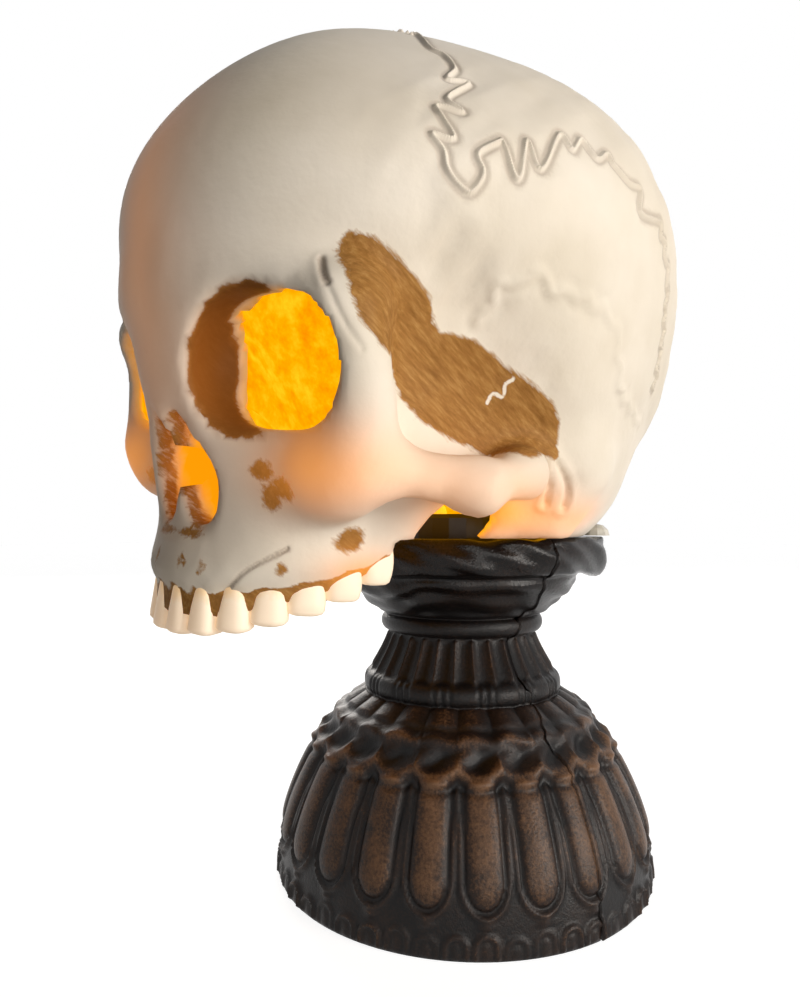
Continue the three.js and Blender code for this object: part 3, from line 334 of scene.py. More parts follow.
def cavity(p):
    """The hollow: the head shrunk by its wall, kept off the gum and off the walls of sockets and nose."""
    orbit, nose = recesses(p)
    keep = np.minimum(GUM_TOP - p[2], UNDERSIDE_FRONT - p[1])
    return np.maximum.reduce([head(p) + WALL, keep, WALL - orbit, WALL - nose])


def world_height(p):
    """Height of an upright skull point above the table once the skull leans."""
    return SEAT - p[0] * math.sin(LEAN) + (p[2] - SEAT) * math.cos(LEAN)


def skull_field(p):
    """Shell of the skull: bone less sockets, nose, palate and hollow, cut flat where it sits on the cup."""
    f = bone(p)
    orbit, nose = recesses(p)
    side = mirrored(p)
    shell = carve(carve(f, orbit, ORBIT_EDGE), nose, NOSE_EDGE)
    shell = carve(shell, egg(side, *PALATE), PALATE_EDGE)
    shell = np.maximum(shell, -cavity(p))
    shell = carve(shell, pillow(side, *ORBIT_HOLE), HOLE_EDGE)
    shell = carve(shell, egg(side, *JAW_GAP), GAP_EDGE)
    shell = carve(shell, egg(side, *EAR_PIT), PIT_EDGE)
    height = world_height(p)
    under = np.maximum(height - UNDERSIDE, UNDERSIDE_FRONT - p[1])
    ring = np.hypot(p[0] / BASE_HOLE[0], (p[1] - BASE_HOLE[2]) / BASE_HOLE[1]) - 1
    hole = np.maximum(ring * BASE_HOLE[0], np.abs(height - UNDERSIDE) - 2 * WALL)
    return np.maximum.reduce([shell, -under, -hole])


print("wall", WALL, "mm thick, underside cut at a height of", UNDERSIDE, "mm")

# %% [markdown]
# ## Skull: a skin over the fields
# The skin comes from surface nets: space is cut into small cubes, each cube that the surface crosses gets
# one point at the middle of its crossings, and neighbouring points are joined. All cubes are handled as
# whole arrays. Afterwards each point slides along the field's slope until it lies on the surface.

# %% Surface nets
CELL = 1.75
SKULL_LOW = np.array([-58.0, -102.0, 64.0])
SKULL_HIGH = np.array([58.0, 72.0, 206.0])


def corners(values, axis, step):
    """Slice of a grid without its last (step 0) or first (step 1) layer along an axis."""
    size = values.shape[axis] - 1
    return np.take(values, np.arange(step, size + step), axis=axis)


def surface_nets(field, low, high, cell):
    """Points and four-cornered faces of the zero level of a field on a box."""
    axes = [np.arange(low[i], high[i] + cell, cell, dtype=np.float32) for i in range(3)]
    grid = np.meshgrid(*axes, indexing="ij")
    values = field(grid)
    solid = values < 0
    shape = np.array(values.shape) - 1
    total = np.zeros((3,) + tuple(shape), np.float32)
    count = np.zeros(tuple(shape), np.float32)
    for axis in range(3):
        first, last = corners(values, axis, 0), corners(values, axis, 1)
        crossed = (first < 0) != (last < 0)
        share = np.where(crossed, first / np.where(crossed, first - last, 1), 0)
        others = [i for i in range(3) if i != axis]
        for shift in np.ndindex(2, 2):
            window = [slice(None)] * 3
            for other, step in zip(others, shift):
                window[other] = slice(step, step + shape[other])
            window = tuple(window)
            hit = crossed[window]
            count += hit
            for i in range(3):
                place = corners(grid[i], axis, 0)[window] + (share[window] * cell if i == axis else 0)
                total[i] += place * hit
    active = count > 0
    number = np.full(active.shape, -1)
    number[active] = np.arange(active.sum())
    points = (total / np.maximum(count, 1))[:, active].T
    faces = []
    for axis in range(3):
        b, d = (axis + 1) % 3, (axis + 2) % 3
        window = [slice(None)] * 3
        window[b] = slice(1, shape[b])
        window[d] = slice(1, shape[d])
        first = corners(solid, axis, 0)[tuple(window)]
        last = corners(solid, axis, 1)[tuple(window)]
        at = np.argwhere(first != last)
        around = np.zeros((4, 3), int)
        around[[1, 2], b] = 1
        around[[2, 3], d] = 1
        quad = np.stack([number[tuple((at + turn).T)] for turn in around], 1)
        outward = first[first != last]
        faces.append(np.where(outward[:, None], quad, quad[:, ::-1]))
    return points, np.concatenate(faces)


def slope(field, points, reach=0.05):
    """Value and gradient of a field at points, by small steps along each axis."""
    p = points.T.astype(np.float64)
    value = field(p)
    steps = np.eye(3) * reach
    grad = np.stack([(field(p + step[:, None]) - value) / reach for step in steps], 1)
    return value, grad


def settle(field, points, cell, rounds=2):
    """Newton steps along the gradient, each at most a third of a cell long."""
    for _ in range(rounds):
        value, grad = slope(field, points)
        size = np.maximum(np.linalg.norm(grad, axis=1), 0.4)
        step = np.clip(value / size, -cell / 3, cell / 3)
        points = points - (step / size)[:, None] * grad
    return points


skin, skin_faces = surface_nets(skull_field, SKULL_LOW, SKULL_HIGH, CELL)
skin = settle(skull_field, skin, CELL)
print("skull skin:", len(skin), "points,", len(skin_faces), "faces")

# %% [markdown]
# ## Skull: sutures, ridges and folds
# The mould copies the zigzag joints of a real skull as small raised seams. Each is a smooth path through
# places on the head, laid back on the bone: the long joints zigzag through their listed places, and the
# short ones and the squama are swung from side to side by a wave. The skin is split finer along these paths
# and lifted by a bell-shaped ridge with a shallow groove on each side. Slits, folds and cracks follow such
# paths too, but sink in, some with a slight roll beside them.

# %% Paths over the bone
SUTURE_STEP = 0.5
LAY_REACH = 6.0


def smooth_path(places):
    """Catmull-Rom curve through the places, in even steps along its length."""
    c = np.array(places, float)
    c = np.concatenate([[2 * c[0] - c[1]], c, [2 * c[-1] - c[-2]]])
    t = np.linspace(0, 1, 40, endpoint=False)[:, None]
    pieces = []
    for a, b, d, e in zip(c, c[1:], c[2:], c[3:]):
        pieces.append(0.5 * (2 * b + (d - a) * t + (2 * a - 5 * b + 4 * d - e) * t ** 2
                             + (3 * b - a - 3 * d + e) * t ** 3))
    line = np.concatenate(pieces + [c[-2:-1]])
    run = np.concatenate([[0], np.cumsum(np.linalg.norm(np.diff(line, axis=0), axis=1))])
    even = np.arange(0, run[-1], SUTURE_STEP)
    return np.stack([np.interp(even, run, line[:, i]) for i in range(3)], 1), even


def laid(line):
    """The points of a line, moved onto the bone in three steps of at most a third of LAY_REACH."""
    return settle(bone, line, LAY_REACH, rounds=3)


def zigzag(places, swing, period):
    """Path over the bone that swings aside in an uneven wave, by an amount that changes along it."""
    line, run = smooth_path(places)
    line = laid(line)
    _, grad = slope(bone, line)
    out = grad / np.linalg.norm(grad, axis=1)[:, None]
    ahead = np.gradient(line, axis=0)
    side = np.cross(out, ahead / np.linalg.norm(ahead, axis=1)[:, None])
    turn = 2 * math.pi * run / period + 1.1 * np.sin(2 * math.pi * run / (period * 4.3))
    wave = np.sin(turn) + 0.35 * np.sin(2.3 * turn + 1)
    amount = np.interp(run / run[-1], np.linspace(0, 1, len(swing)), swing)
    return laid(line + side * (wave * amount)[:, None])


CROWN_TOP = [(0, -44, 199), (9, -46, 197.5), (19.8, -47.3, 194.7)]
CROWN_SUTURE = [(19.8, -47.3, 194.7), (28.1, -51.9, 187.5), (31.6, -51.1, 184.1), (36.1, -52.9, 179.7),
                (38.1, -56.7, 175.8), (39.7, -52.8, 175.6), (41.5, -60, 170), (43.9, -58.8, 166.8),
                (41.4, -62.8, 167), (46.2, -62.7, 160.9), (43.7, -65.7, 160.5), (45.4, -64.5, 157.6),
                (46, -64.2, 154.6), (47, -62.8, 152.5), (48.2, -60.5, 151.3), (49.7, -59, 153.6),
                (49.7, -58.5, 155.6), (48.3, -58.8, 158.5), (48.9, -53.7, 162.2)]
SIDE_SUTURE = [(48.9, -53.7, 162.2), (51.3, -51.5, 155.6), (50.1, -48.2, 163.7), (52.5, -46.4, 158.9),
               (51, -39.4, 167.9), (52.5, -37.1, 165.5), (51.9, -33.5, 168.8), (53.7, -30.7, 165.7),
               (53.3, -26.2, 168.3), (54.3, -25, 166.4), (55.1, -20.4, 164.1), (55.1, -15.5, 164.3),
               (56.1, -16.2, 159.2), (54.2, -6, 160.5)]
BACK_SUTURE = [(54.2, -6, 160.5), (53.5, 2, 152), (51, 7.5, 140), (46, 15, 127)]
SQUAMA = [(43.1, -49.8, 131.4), (45.7, -49.4, 135.4), (47.6, -49.4, 138), (51.6, -42.7, 140.8),
          (51.8, -38.8, 139), (53.4, -32.4, 138.9), (54, -24.8, 137.7), (53.8, -18.9, 135.6),
          (52.2, -13.5, 128.8), (50.3, -7.8, 123.2), (43.6, 13.7, 118.2)]
TEMPLE_LINE = [(35.6, -78.5, 144.8), (38.5, -76.4, 149.5), (40.6, -73.5, 152.8), (41.6, -71, 158),
               (40.3, -67.6, 164.6), (35.5, -63, 173.5), (27.6, -59.6, 182.7)]
BROW_SLIT = [(34.6, -80.6, 137.5), (35.8, -80.9, 135), (37.3, -80.9, 132.6)]
BROW_FOLD = [(37.3, -80.9, 132.6), (38, -79.6, 129.9), (39.5, -77.6, 125.7), (41, -76, 122.6)]
GUM_CRACK = [(23, -75.5, 88), (17, -80, 83.5), (12.5, -81.6, 79)]
EAR_FOLD = [(43.9, -24.2, 107.4), (44.6, -21.7, 105.5), (44.6, -19, 102.2), (43.2, -17.8, 97.8)]
JAW_FOLD = [(44.5, -27, 105), (42.3, -23.2, 102.6), (41.2, -21.4, 98.2)]
SCRATCH = [(40.1, -41.6, 117.9), (40.9, -41, 119.7), (41.6, -38.9, 119.4), (42.3, -39.2, 121.7),
           (43.4, -38.1, 122.8)]


def on_bone(places):
    """Smooth path through the places, laid back on the bone."""
    return laid(smooth_path(places)[0])


suture = np.concatenate([zigzag(CROWN_TOP, (1.2, 1.4), 5.4), on_bone(CROWN_SUTURE), on_bone(SIDE_SUTURE),
                         zigzag(BACK_SUTURE, (0.9, 1.1), 5.0)])
squama = zigzag(SQUAMA, (0.5, 0.7, 0.5), 7.0)
temple_line = on_bone(TEMPLE_LINE)
brow_slit = on_bone(BROW_SLIT)
brow_fold = on_bone(BROW_FOLD)
gum_crack = on_bone(GUM_CRACK)
ear_folds = np.concatenate([on_bone(EAR_FOLD), on_bone(JAW_FOLD)])
scratch = on_bone(SCRATCH)
print("suture path:", len(suture), "steps of", SUTURE_STEP, "mm")


# %% Distance to the paths
FAR = 9.0


def distance_to(points, path):
    """Distance of each point (either side of the head) to a path, or FAR where it is not near."""
    p = np.abs(points) * [1, 0, 0] + points * [0, 1, 1]
    result = np.full(len(p), FAR)
    box = (p > path.min(0) - FAR).all(1) & (p < path.max(0) + FAR).all(1)
    near = np.flatnonzero(box)
    for part in np.array_split(near, max(1, len(near) // 20000)):
        square = (p[part] ** 2).sum(1)[:, None] + (path ** 2).sum(1) - 2 * p[part] @ path.T
        result[part] = np.minimum(FAR, np.sqrt(np.maximum(square.min(1), 0)))
    return result


def split_near(points, faces, chosen):
    """Splits chosen quads in four, where every edge has two faces; neighbours get the edge middles too."""
    edges = np.stack([faces, np.roll(faces, -1, 1)], 2)
    key = np.sort(edges.reshape(-1, 2), 1)
    code = key[:, 0].astype(np.int64) * len(points) + key[:, 1]
    _, first, uses = np.unique(code, return_inverse=True, return_counts=True)
    chosen = chosen & (uses[first].reshape(-1, 4) == 2).all(1)
    wanted = np.unique(code[np.repeat(chosen, 4)])
    slot = np.searchsorted(wanted, code)
    slot = np.minimum(slot, len(wanted) - 1)
    middle = np.where(wanted[slot] == code, slot + len(points), -1).reshape(-1, 4)
    halves = np.stack([wanted // len(points), wanted % len(points)], 1)
    centre = len(points) + len(wanted) + np.arange(chosen.sum())
    grown = np.concatenate([points, points[halves].mean(1), points[faces[chosen]].mean(1)])
    fine = np.stack([faces[chosen], middle[chosen], np.repeat(centre[:, None], 4, 1),
                     np.roll(middle[chosen], 1, 1)], 2).reshape(-1, 4)
    rest = np.stack([faces[~chosen], middle[~chosen]], 2).reshape(-1, 8)
    kept = rest >= 0
    return grown, fine, rest[kept], kept.sum(1)


# Each split takes the faces of the one before it that lie within reach of its marks.
sharp_marks = np.concatenate([suture, brow_slit, brow_fold, gum_crack, scratch])
all_marks = np.concatenate([sharp_marks, squama, ear_folds])
SPLITS = [(3.6, all_marks), (1.8, sharp_marks), (0.9, suture)]

on_outside = bone(skin[skin_faces[:, 0]].T) > -WALL / 2
skin_loops, skin_sizes = [], []
for reach, marks in SPLITS:
    near = (distance_to(skin[skin_faces].mean(1), marks) < reach) & on_outside
    skin, skin_faces, rest, rest_sizes = split_near(skin, skin_faces, near)
    on_outside = np.ones(len(skin_faces), bool)
    skin_loops.insert(0, rest)
    skin_sizes.insert(0, rest_sizes)
    print("within", reach, "mm:", near.sum(), "faces split in four")
skin_loops = np.concatenate([skin_faces.ravel()] + skin_loops)
skin_sizes = np.concatenate([np.full(len(skin_faces), 4)] + skin_sizes)
skin_starts = np.concatenate([[0], np.cumsum(skin_sizes)[:-1]])
skin = settle(skull_field, skin, CELL, rounds=1)

# %% Raise the marks


def bell(distance, width):
    """Bell curve: 1 at the path, falling off over the width."""
    return np.exp(-(distance / width) ** 2)


def blot(points, at, half):
    """Soft spot: 1 at the middle, falling off over the half sizes, on both sides of the head."""
    d = np.abs(points) * [1, 0, 0] + points * [0, 1, 1] - np.array(at)
    return np.exp(-((d / np.array(half)) ** 2).sum(1))


def ripple(points, length):
    """Uneven lumps from -1 to 1: the mean of two pairs of crossed waves of about the given length."""
    k = 2 * math.pi / length
    x, y, z = points.T
    return (np.sin(k * (x + 0.6 * y) + 1.3) * np.sin(k * (0.8 * z - 0.5 * x) + 0.4)
            + np.sin(k * 0.7 * (y - z) + 2.1) * np.sin(k * 1.1 * (x + 0.4 * z))) / 2


# Height and width of the middle of each mark; height, distance and width of the roll or groove beside it.
MARKS = [(suture, 0.55, 0.36, -0.22, 0.95, 0.4), (squama, 0.4, 0.8, -0.15, 1.9, 0.9),
         (brow_slit, -0.7, 0.45, 0.08, 1.2, 0.6), (ear_folds, -0.7, 0.8, 0.45, 1.5, 0.9),
         (brow_fold, -0.2, 0.5, 0.06, 1.2, 0.8), (gum_crack, -0.6, 0.3, 0.0, 1.0, 1.0),
         (temple_line, 0.12, 0.9, 0.0, 1.0, 1.0)]
DENTS = [(44.7, -65.9, 147), (46.3, -61.2, 144), (43.9, -62.5, 139), (45, -54.8, 137.3),
         (42.4, -56.5, 132.5)]
DENT_HALF = (7, 2.2, 3.6)
DENT_DEEP = 0.75
LUMPS = [(0.3, 17), (0.14, 7)]
LUMPS_SIDE, LUMPS_FRONT, LUMPS_FADE = 28, -80, 12

lift = np.zeros(len(skin))
for path, high, wide, beside, away, beside_wide in MARKS:
    off = distance_to(skin, path)
    lift += high * bell(off, wide) + beside * bell(off - away, beside_wide)
for dent in DENTS:
    lift -= DENT_DEEP * blot(skin, dent, DENT_HALF)
outside = bone(skin.T) > -WALL / 2
side_head = np.clip((np.abs(skin[:, 0]) - LUMPS_SIDE) / LUMPS_FADE, 0, 1)
side_head *= np.clip((skin[:, 1] - LUMPS_FRONT) / LUMPS_FADE, 0, 1)
lift += side_head * sum(high * ripple(skin, length) for high, length in LUMPS)
_, grad = slope(bone, skin)
normal = grad / np.maximum(np.linalg.norm(grad, axis=1), 1e-6)[:, None]
skin = skin + normal * (lift * outside)[:, None]
print("marks raised by up to", round(float(lift.max()), 2), "mm")

# %% [markdown]
# ## Skull: what the paint and the light do where
# Numbers stored on the points tell the material where the lamp's light falls, where light comes through
# the plastic, where the brown paint sits, and where shade is painted into the seams, cracks and sockets.

# %% Paint and light on the points
FOSSA = [(-76.5, 142.3), (-73.4, 141.8), (-69.4, 139.5), (-65, 137), (-61, 134), (-56, 129), (-49, 128.7),
         (-40, 124.6), (-34, 122), (-29, 119), (-25.7, 116), (-24.7, 112), (-24.5, 108), (-31.6, 109.5),
         (-39.6, 107.9), (-48.8, 110.7), (-56, 113), (-61.4, 117), (-64.4, 122), (-73, 124), (-77, 127.6),
         (-78.9, 132), (-78.5, 136.8)]


def outline_depth(y, z, outline):
    """How far a point is inside a closed outline in the side view; negative outside."""
    c = np.array(outline, float)
    inside = np.zeros(len(y), bool)
    nearest = np.full(len(y), 1e9)
    for (y0, z0), (y1, z1) in zip(c, np.roll(c, -1, 0)):
        crosses = ((z0 > z) != (z1 > z)) & (y < (y1 - y0) * (z - z0) / (z1 - z0 + 1e-9) + y0)
        inside ^= crosses
        t = np.clip(((y - y0) * (y1 - y0) + (z - z0) * (z1 - z0)) / ((y1 - y0) ** 2 + (z1 - z0) ** 2), 0, 1)
        nearest = np.minimum(nearest, np.hypot(y - y0 - t * (y1 - y0), z - z0 - t * (z1 - z0)))
    return np.where(inside, nearest, -nearest)


def ramp(value, low, high):
    """0 below low, 1 above high, and a smooth rise between them."""
    t = np.clip((value - low) / (high - low), 0, 1)
    return t * t * (3 - 2 * t)


ORBIT_BACK, NOSE_BACK = -50, -60
# A spot is its middle, its half sizes and its strength.
SMUDGES = [((20.6, -80.2, 102), (2.6, 4, 2.2), 1.0), ((24.5, -78, 99), (4, 4, 3), 0.85),
           ((21.6, -78.7, 97.2), (2, 4, 3.2), 0.95), ((4.3, -84.7, 89.2), (4.6, 4, 1.4), 0.85),
           ((4.8, -84.4, 83.9), (1.3, 4, 2.6), 1.0), ((9.5, -83.7, 83.2), (1.5, 4, 1.4), 1.0),
           ((21.6, -75.1, 84.4), (1.6, 2, 1.8), 0.95), ((28.3, -64.6, 90), (5, 4, 2.8), 1.0)]
WARM = [((-2, -94, 146), (13, 12, 32), 0.19), ((33, -78, 103), (12, 9, 8), 0.5),
        ((43, -68, 103), (12, 14, 8), 0.2), ((47, -50, 101), (9, 14, 6), 0.25),
        ((38, -27, 96), (12, 11, 7), 0.5), ((36, -38, 94), (14, 10, 7), 0.9),
        ((42, -8, 95), (10, 12, 5), 0.4), ((0, -84, 114), (24, 16, 20), 0.07),
        ((25, -60, 84), (6, 9, 4), 0.45)]


def on_wall(field, near, far):
    """1 within a near distance of a field's surface, falling to 0 at a far one."""
    return ramp(-np.abs(field), -far, -near)


def skull_values(points):
    """Lamp light, light in the nose, warm glow, paint and painted shade for points of the upright skull."""
    p = points.T
    f = bone(p)
    orbit, nose = recesses(p)
    hollow = cavity(p)
    lit = on_wall(hollow, 0.2, 0.6) * (f < -WALL * 0.6)
    in_orbit = on_wall(orbit, 0.5, 1.1) * (p[1] < ORBIT_BACK)
    in_nose = on_wall(nose, 0.3, 0.7) * (f < -0.3) * (p[1] < NOSE_BACK)
    nose_rim = in_nose * ramp(f, -6.0, -3.5)
    fossa = ramp(outline_depth(p[1], p[2], FOSSA), -2.2, 1.4) * (np.abs(p[0]) > 30) * (f > -1)
    fossa *= 1 - 0.9 * bell(distance_to(points, scratch), 0.55)
    paint = np.maximum.reduce([fossa, in_orbit * (1 - lit), 0.62 * nose_rim])
    gum = ramp(gum_height(p) - p[2], -0.1, 0.7) * ramp(4.5 - off_arch(p), 0, 1) * (p[1] < TEETH_BACK_Y + 4)
    paint = np.maximum(paint, gum)
    for at, half, amount in SMUDGES:
        paint = np.maximum(paint, amount * blot(points, at, half))
    warm = np.zeros(len(points))
    for at, half, amount in WARM:
        warm += amount * blot(points, at, half)
    # Painted shade: dark in the groove beside the suture, in the gum crack and the brow slit, and deep in the
    # eye sockets.
    painted_shade = np.maximum.reduce([0.35 * bell(distance_to(points, suture) - 1.1, 0.5),
                              bell(distance_to(points, gum_crack), 0.4),
                              bell(distance_to(points, brow_slit), 0.6),
                              0.85 * in_orbit * (1 - lit)])
    return lit, (in_nose - nose_rim) * (1 - lit), np.clip(warm, 0, 1), np.clip(paint, 0, 1), painted_shade


print(len(SMUDGES), "smudges of paint and", len(WARM), "spots of warm light")

# %% [markdown]
# ## Skull: the finished shell
# The light and paint numbers go onto the points as attributes while the skull stands upright. Then the
# points lean over to the place that the skull has on its cup.

# %% Store the numbers and lean the skull


def triangles(piece):
    """Number of triangles of a piece's mesh."""
    return sum(len(face.vertices) - 2 for face in piece.data.polygons)


skull = put_mesh("skull", leaned(skin), skin_loops, skin_starts)
for name, values in zip(("lit", "nose", "warm", "paint", "painted_shade"), skull_values(skin)):
    point_values(skull, name, values)
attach(skull, "stand")
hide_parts("skull_shell")
print("skull:", triangles(skull), "triangles")

# %% [markdown]
# ## Teeth
# Each crown is broad and rounded at its biting edge and narrows towards the gum. A crown is one profile
# from the biting edge up to the root, carried round a rounded rectangle.

# %% Make the crowns
CROWN_HIGH = 8.0
CROWN_DEEP = 3.5
CROWN_FILL = 1.12
CROWN_SIDES, CROWN_ROWS = 28, 18
SECTION_POWER = 2.6
FRONT_BITE, BACK_BITE = 0.2, 0.48
FRONT_TAPER, BACK_TAPER = 0.98, 0.68
BITE_SHARE = 0.16
RISE_FROM = 0.22
EDGE_POWER, TAPER_POWER = 0.8, 1.5
LEAST_REACH = 0.06
DEPTH_TAPER = 0.45
BLUNT_TEETH = 3


def crown(width, deep, high, back):
    """Crown: half width and height follow a profile in v, the section in u is a superellipse.

    A front tooth narrows almost to a point; towards the back (back = 1) the crowns get rounder and blunter.
    """
    u = np.linspace(0, 2 * math.pi, CROWN_SIDES, endpoint=False)
    v = np.linspace(0, 1, CROWN_ROWS)
    bite = np.minimum(v / (FRONT_BITE + (BACK_BITE - FRONT_BITE) * back), 1)
    rise = np.clip((v - RISE_FROM) / (1 - RISE_FROM), 0, 1)
    edge = np.sin(bite * math.pi / 2) ** EDGE_POWER
    taper = FRONT_TAPER + (BACK_TAPER - FRONT_TAPER) * back
    reach = edge * np.maximum(1 - taper * rise ** TAPER_POWER, LEAST_REACH)
    depth = edge * (1 - DEPTH_TAPER * rise)
    height = -high + BITE_SHARE * high * (1 - np.cos(bite * math.pi / 2)) + (2 - BITE_SHARE) * high * rise
    power = 2 / SECTION_POWER
    x = np.sign(np.cos(u)) * np.abs(np.cos(u)) ** power
    y = np.sign(np.sin(u)) * np.abs(np.sin(u)) ** power
    points = np.stack([np.outer(reach, x) * width / 2, np.outer(depth, y) * deep,
                       np.repeat(height[:, None], CROWN_SIDES, 1)], 2)
    return points.reshape(-1, 3), np.repeat(rise, CROWN_SIDES)


def ring_quads(rows, sides):
    """Faces of a grid that is closed round its second parameter."""
    row, side = np.meshgrid(np.arange(rows - 1), np.arange(sides), indexing="ij")
    a = row * sides + side
    b = row * sides + (side + 1) % sides
    return np.stack([a, b, b + sides, a + sides], 2).reshape(-1, 4)


def tooth_row():
    """All crowns of both sides in one mesh, with the height along each crown."""
    shapes, heights = [], []
    for side in (-1, 1):
        for number, (place, turn, wide) in enumerate(zip(*tooth_places())):
            back = max(0, number - BLUNT_TEETH) / (TEETH_PER_SIDE - 1 - BLUNT_TEETH)
            points, rise = crown(wide * CROWN_FILL, CROWN_DEEP, CROWN_HIGH, back)
            c, s = math.cos(side * turn), math.sin(side * turn)
            x, y, z = points.T
            shapes.append(np.stack([x * c - y * s, x * s + y * c, z], 1) + place * [side, 1, 1])
            heights.append(rise)
    return np.array(shapes), np.concatenate(heights)


crowns, rise = tooth_row()
per_crown = crowns.shape[1]
wall = ring_quads(CROWN_ROWS, CROWN_SIDES)
shift = np.arange(len(crowns))[:, None, None] * per_crown
walls = (wall[None] + shift).reshape(-1, 4)
caps = np.arange(CROWN_SIDES)[None] + np.arange(len(crowns))[:, None] * per_crown
tops = caps + (CROWN_ROWS - 1) * CROWN_SIDES
loops = np.concatenate([walls.ravel(), caps[:, ::-1].ravel(), tops.ravel()])
sizes = np.concatenate([np.full(len(walls), 4), np.full(2 * len(crowns), CROWN_SIDES)])
starts = np.concatenate([[0], np.cumsum(sizes)[:-1]])
teeth = put_mesh("skull_teeth", leaned(crowns.reshape(-1, 3)), loops, starts)
point_values(teeth, "root", rise)
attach(teeth, "stand")
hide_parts("skull_shell")
print("teeth:", len(crowns), "crowns")

# %% [markdown]
# ## Pedestal: a profile carried round, with its ornament
# The pedestal is two moulded half shells. The outer profile is a line of radius and height, and the
# ornament moves every point along the profile's normal: small arches at the foot, tongue-shaped panels, a
# scalloped shoulder, petals, beads, flutes and an uneven rim.

# %% Profile
SEAM_TURN = math.radians(-11.5)
PANELS = 24
PANEL_TURN = math.radians(1.5)
BASE_R, DOME_TOP_R, DOME_TOP, DOME_POWER = 48.8, 32.4, 42.0, 1.95
SHELL = 2.2
TORUS_MIDDLE, COLLAR_MIDDLE = 48.5, 64.4
NECK_R, NECK_FLARE, NECK_FOOT, NECK_TOP = 19.2, 4.8, 52, 62
BOWL_R, BOWL_SWELL, BOWL_FOOT, BOWL_HIGH = 22.4, 8.6, 67.0, 10.5
RIM_R, RIM_TOP, RIM_WALL = 34.0, 87.0, 4.6
ROW_STEP = 0.45
INNER_STEP = 2.0
COLUMNS_PER_PANEL = 22


def dome_radius(z):
    """Radius of the plain dome: it falls faster and faster towards the shoulder."""
    return BASE_R - (BASE_R - DOME_TOP_R) * (z / DOME_TOP) ** DOME_POWER


def neck_radius(z):
    """Radius of the neck: it flares out towards its foot."""
    return NECK_R + NECK_FLARE * ((NECK_TOP - z) / (NECK_TOP - NECK_FOOT)) ** 1.3


def round_roll(radius, swell, middle, half_high, cut):
    """Half a roll round the pedestal, from below to above, less a cut in radians at either end."""
    turn = np.linspace(cut, math.pi - cut, 9)
    return [(radius + swell * math.sin(a), middle - half_high * math.cos(a)) for a in turn]


def bowl_radius(z):
    """Radius of the bowl: a quarter of a sine that swells from the collar up to the rim."""
    return BOWL_R + BOWL_SWELL * math.sin((z - BOWL_FOOT) / BOWL_HIGH * math.pi / 2) ** 1.2


def even_line(points, step, soften):
    """Line through the points in even steps, with its corners softened by a moving average."""
    c = np.array(points, float)
    run = np.concatenate([[0], np.cumsum(np.hypot(*np.diff(c, axis=0).T))])
    count = int(run[-1] / step) + 1
    even = np.linspace(0, run[-1], count)
    line = np.stack([np.interp(even, run, c[:, i]) for i in range(2)], 1)
    width = max(1, int(soften / step)) * 2 + 1
    padded = np.concatenate([np.repeat(line[:1], width // 2, 0), line, np.repeat(line[-1:], width // 2, 0)])
    return np.stack([np.convolve(padded[:, i], np.ones(width) / width, "valid") for i in range(2)], 1)


def outer_profile():
    """Foot, dome, petal slope, torus, neck, collar, bowl and rim."""
    dome = [(dome_radius(z), z) for z in np.linspace(0, DOME_TOP - 1, 30)]
    torus = round_roll(25, 1.6, TORUS_MIDDLE, 2.6, 0.3)
    neck = [(neck_radius(z), z) for z in np.linspace(NECK_FOOT, NECK_TOP, 8)]
    collar = round_roll(20, 1.9, COLLAR_MIDDLE, 2.4, 0.2)
    bowl = [(bowl_radius(z), z) for z in np.linspace(67.4, 77.5, 10)]
    rim = [(33.4, 78.4), (34.6, 80.5), (35, 83), (34.4, 86), (33.2, RIM_TOP), (RIM_R - RIM_WALL, RIM_TOP)]
    return dome + [(31.4, 42.4), (26.6, 45.4)] + torus + neck + collar + bowl + rim


def inner_profile():
    """Back of the shell, from the rim down to the foot."""
    rim = [(RIM_R - RIM_WALL, 86.4), (RIM_R - RIM_WALL, 79.5)]
    bowl = [(bowl_radius(z) - SHELL, z) for z in np.linspace(77.5, 68, 6)]
    neck = [(19, 66), (14, 66), (14, 52), (20, 46)]
    dome = [(dome_radius(z) - SHELL, z) for z in np.linspace(39.5, 0, 24)]
    return rim + bowl + neck + dome


outer = even_line(outer_profile(), ROW_STEP, 0.5)
inner = even_line(inner_profile(), INNER_STEP, 1.0)
print("profile:", len(outer), "rows outside and", len(inner), "inside")

# %% Ornament


def wave_part(angle, count):
    """Place in the repeat, from -0.5 to 0.5, and the number of the repeat."""
    turn = angle * count / (2 * math.pi)
    return turn - np.round(turn), np.round(turn)


def bulge(distance, half):
    """Half ellipse: 1 in the middle, falling to 0 at the half width."""
    return np.sqrt(np.clip(1 - (distance / half) ** 2, 0, 1))


def band(z, low, high):
    """1 between two heights: it rises within the pair low and falls again within the pair high."""
    return ramp(z, *low) * ramp(-z, -high[1], -high[0])


def uneven(number, mean, swing, beat):
    """Height that differs from one repeat to the next, as in carved work."""
    return mean + swing * np.sin(beat * number)


TONGUE_HALF = 0.33
TONGUE_FOOT = 10.0
TONGUE_POINT = 1.35
TONGUE_HIGH = 1.55
EDGING_HIGH, EDGING_OFF, EDGING_WIDE = 0.95, 1.15, 0.42
SPACER_HIGH, SPACER_WIDE = 0.45, 0.5
BUD_HIGH, BUD_MIDDLE, BUD_WIDE = 0.9, 7.2, 1.5


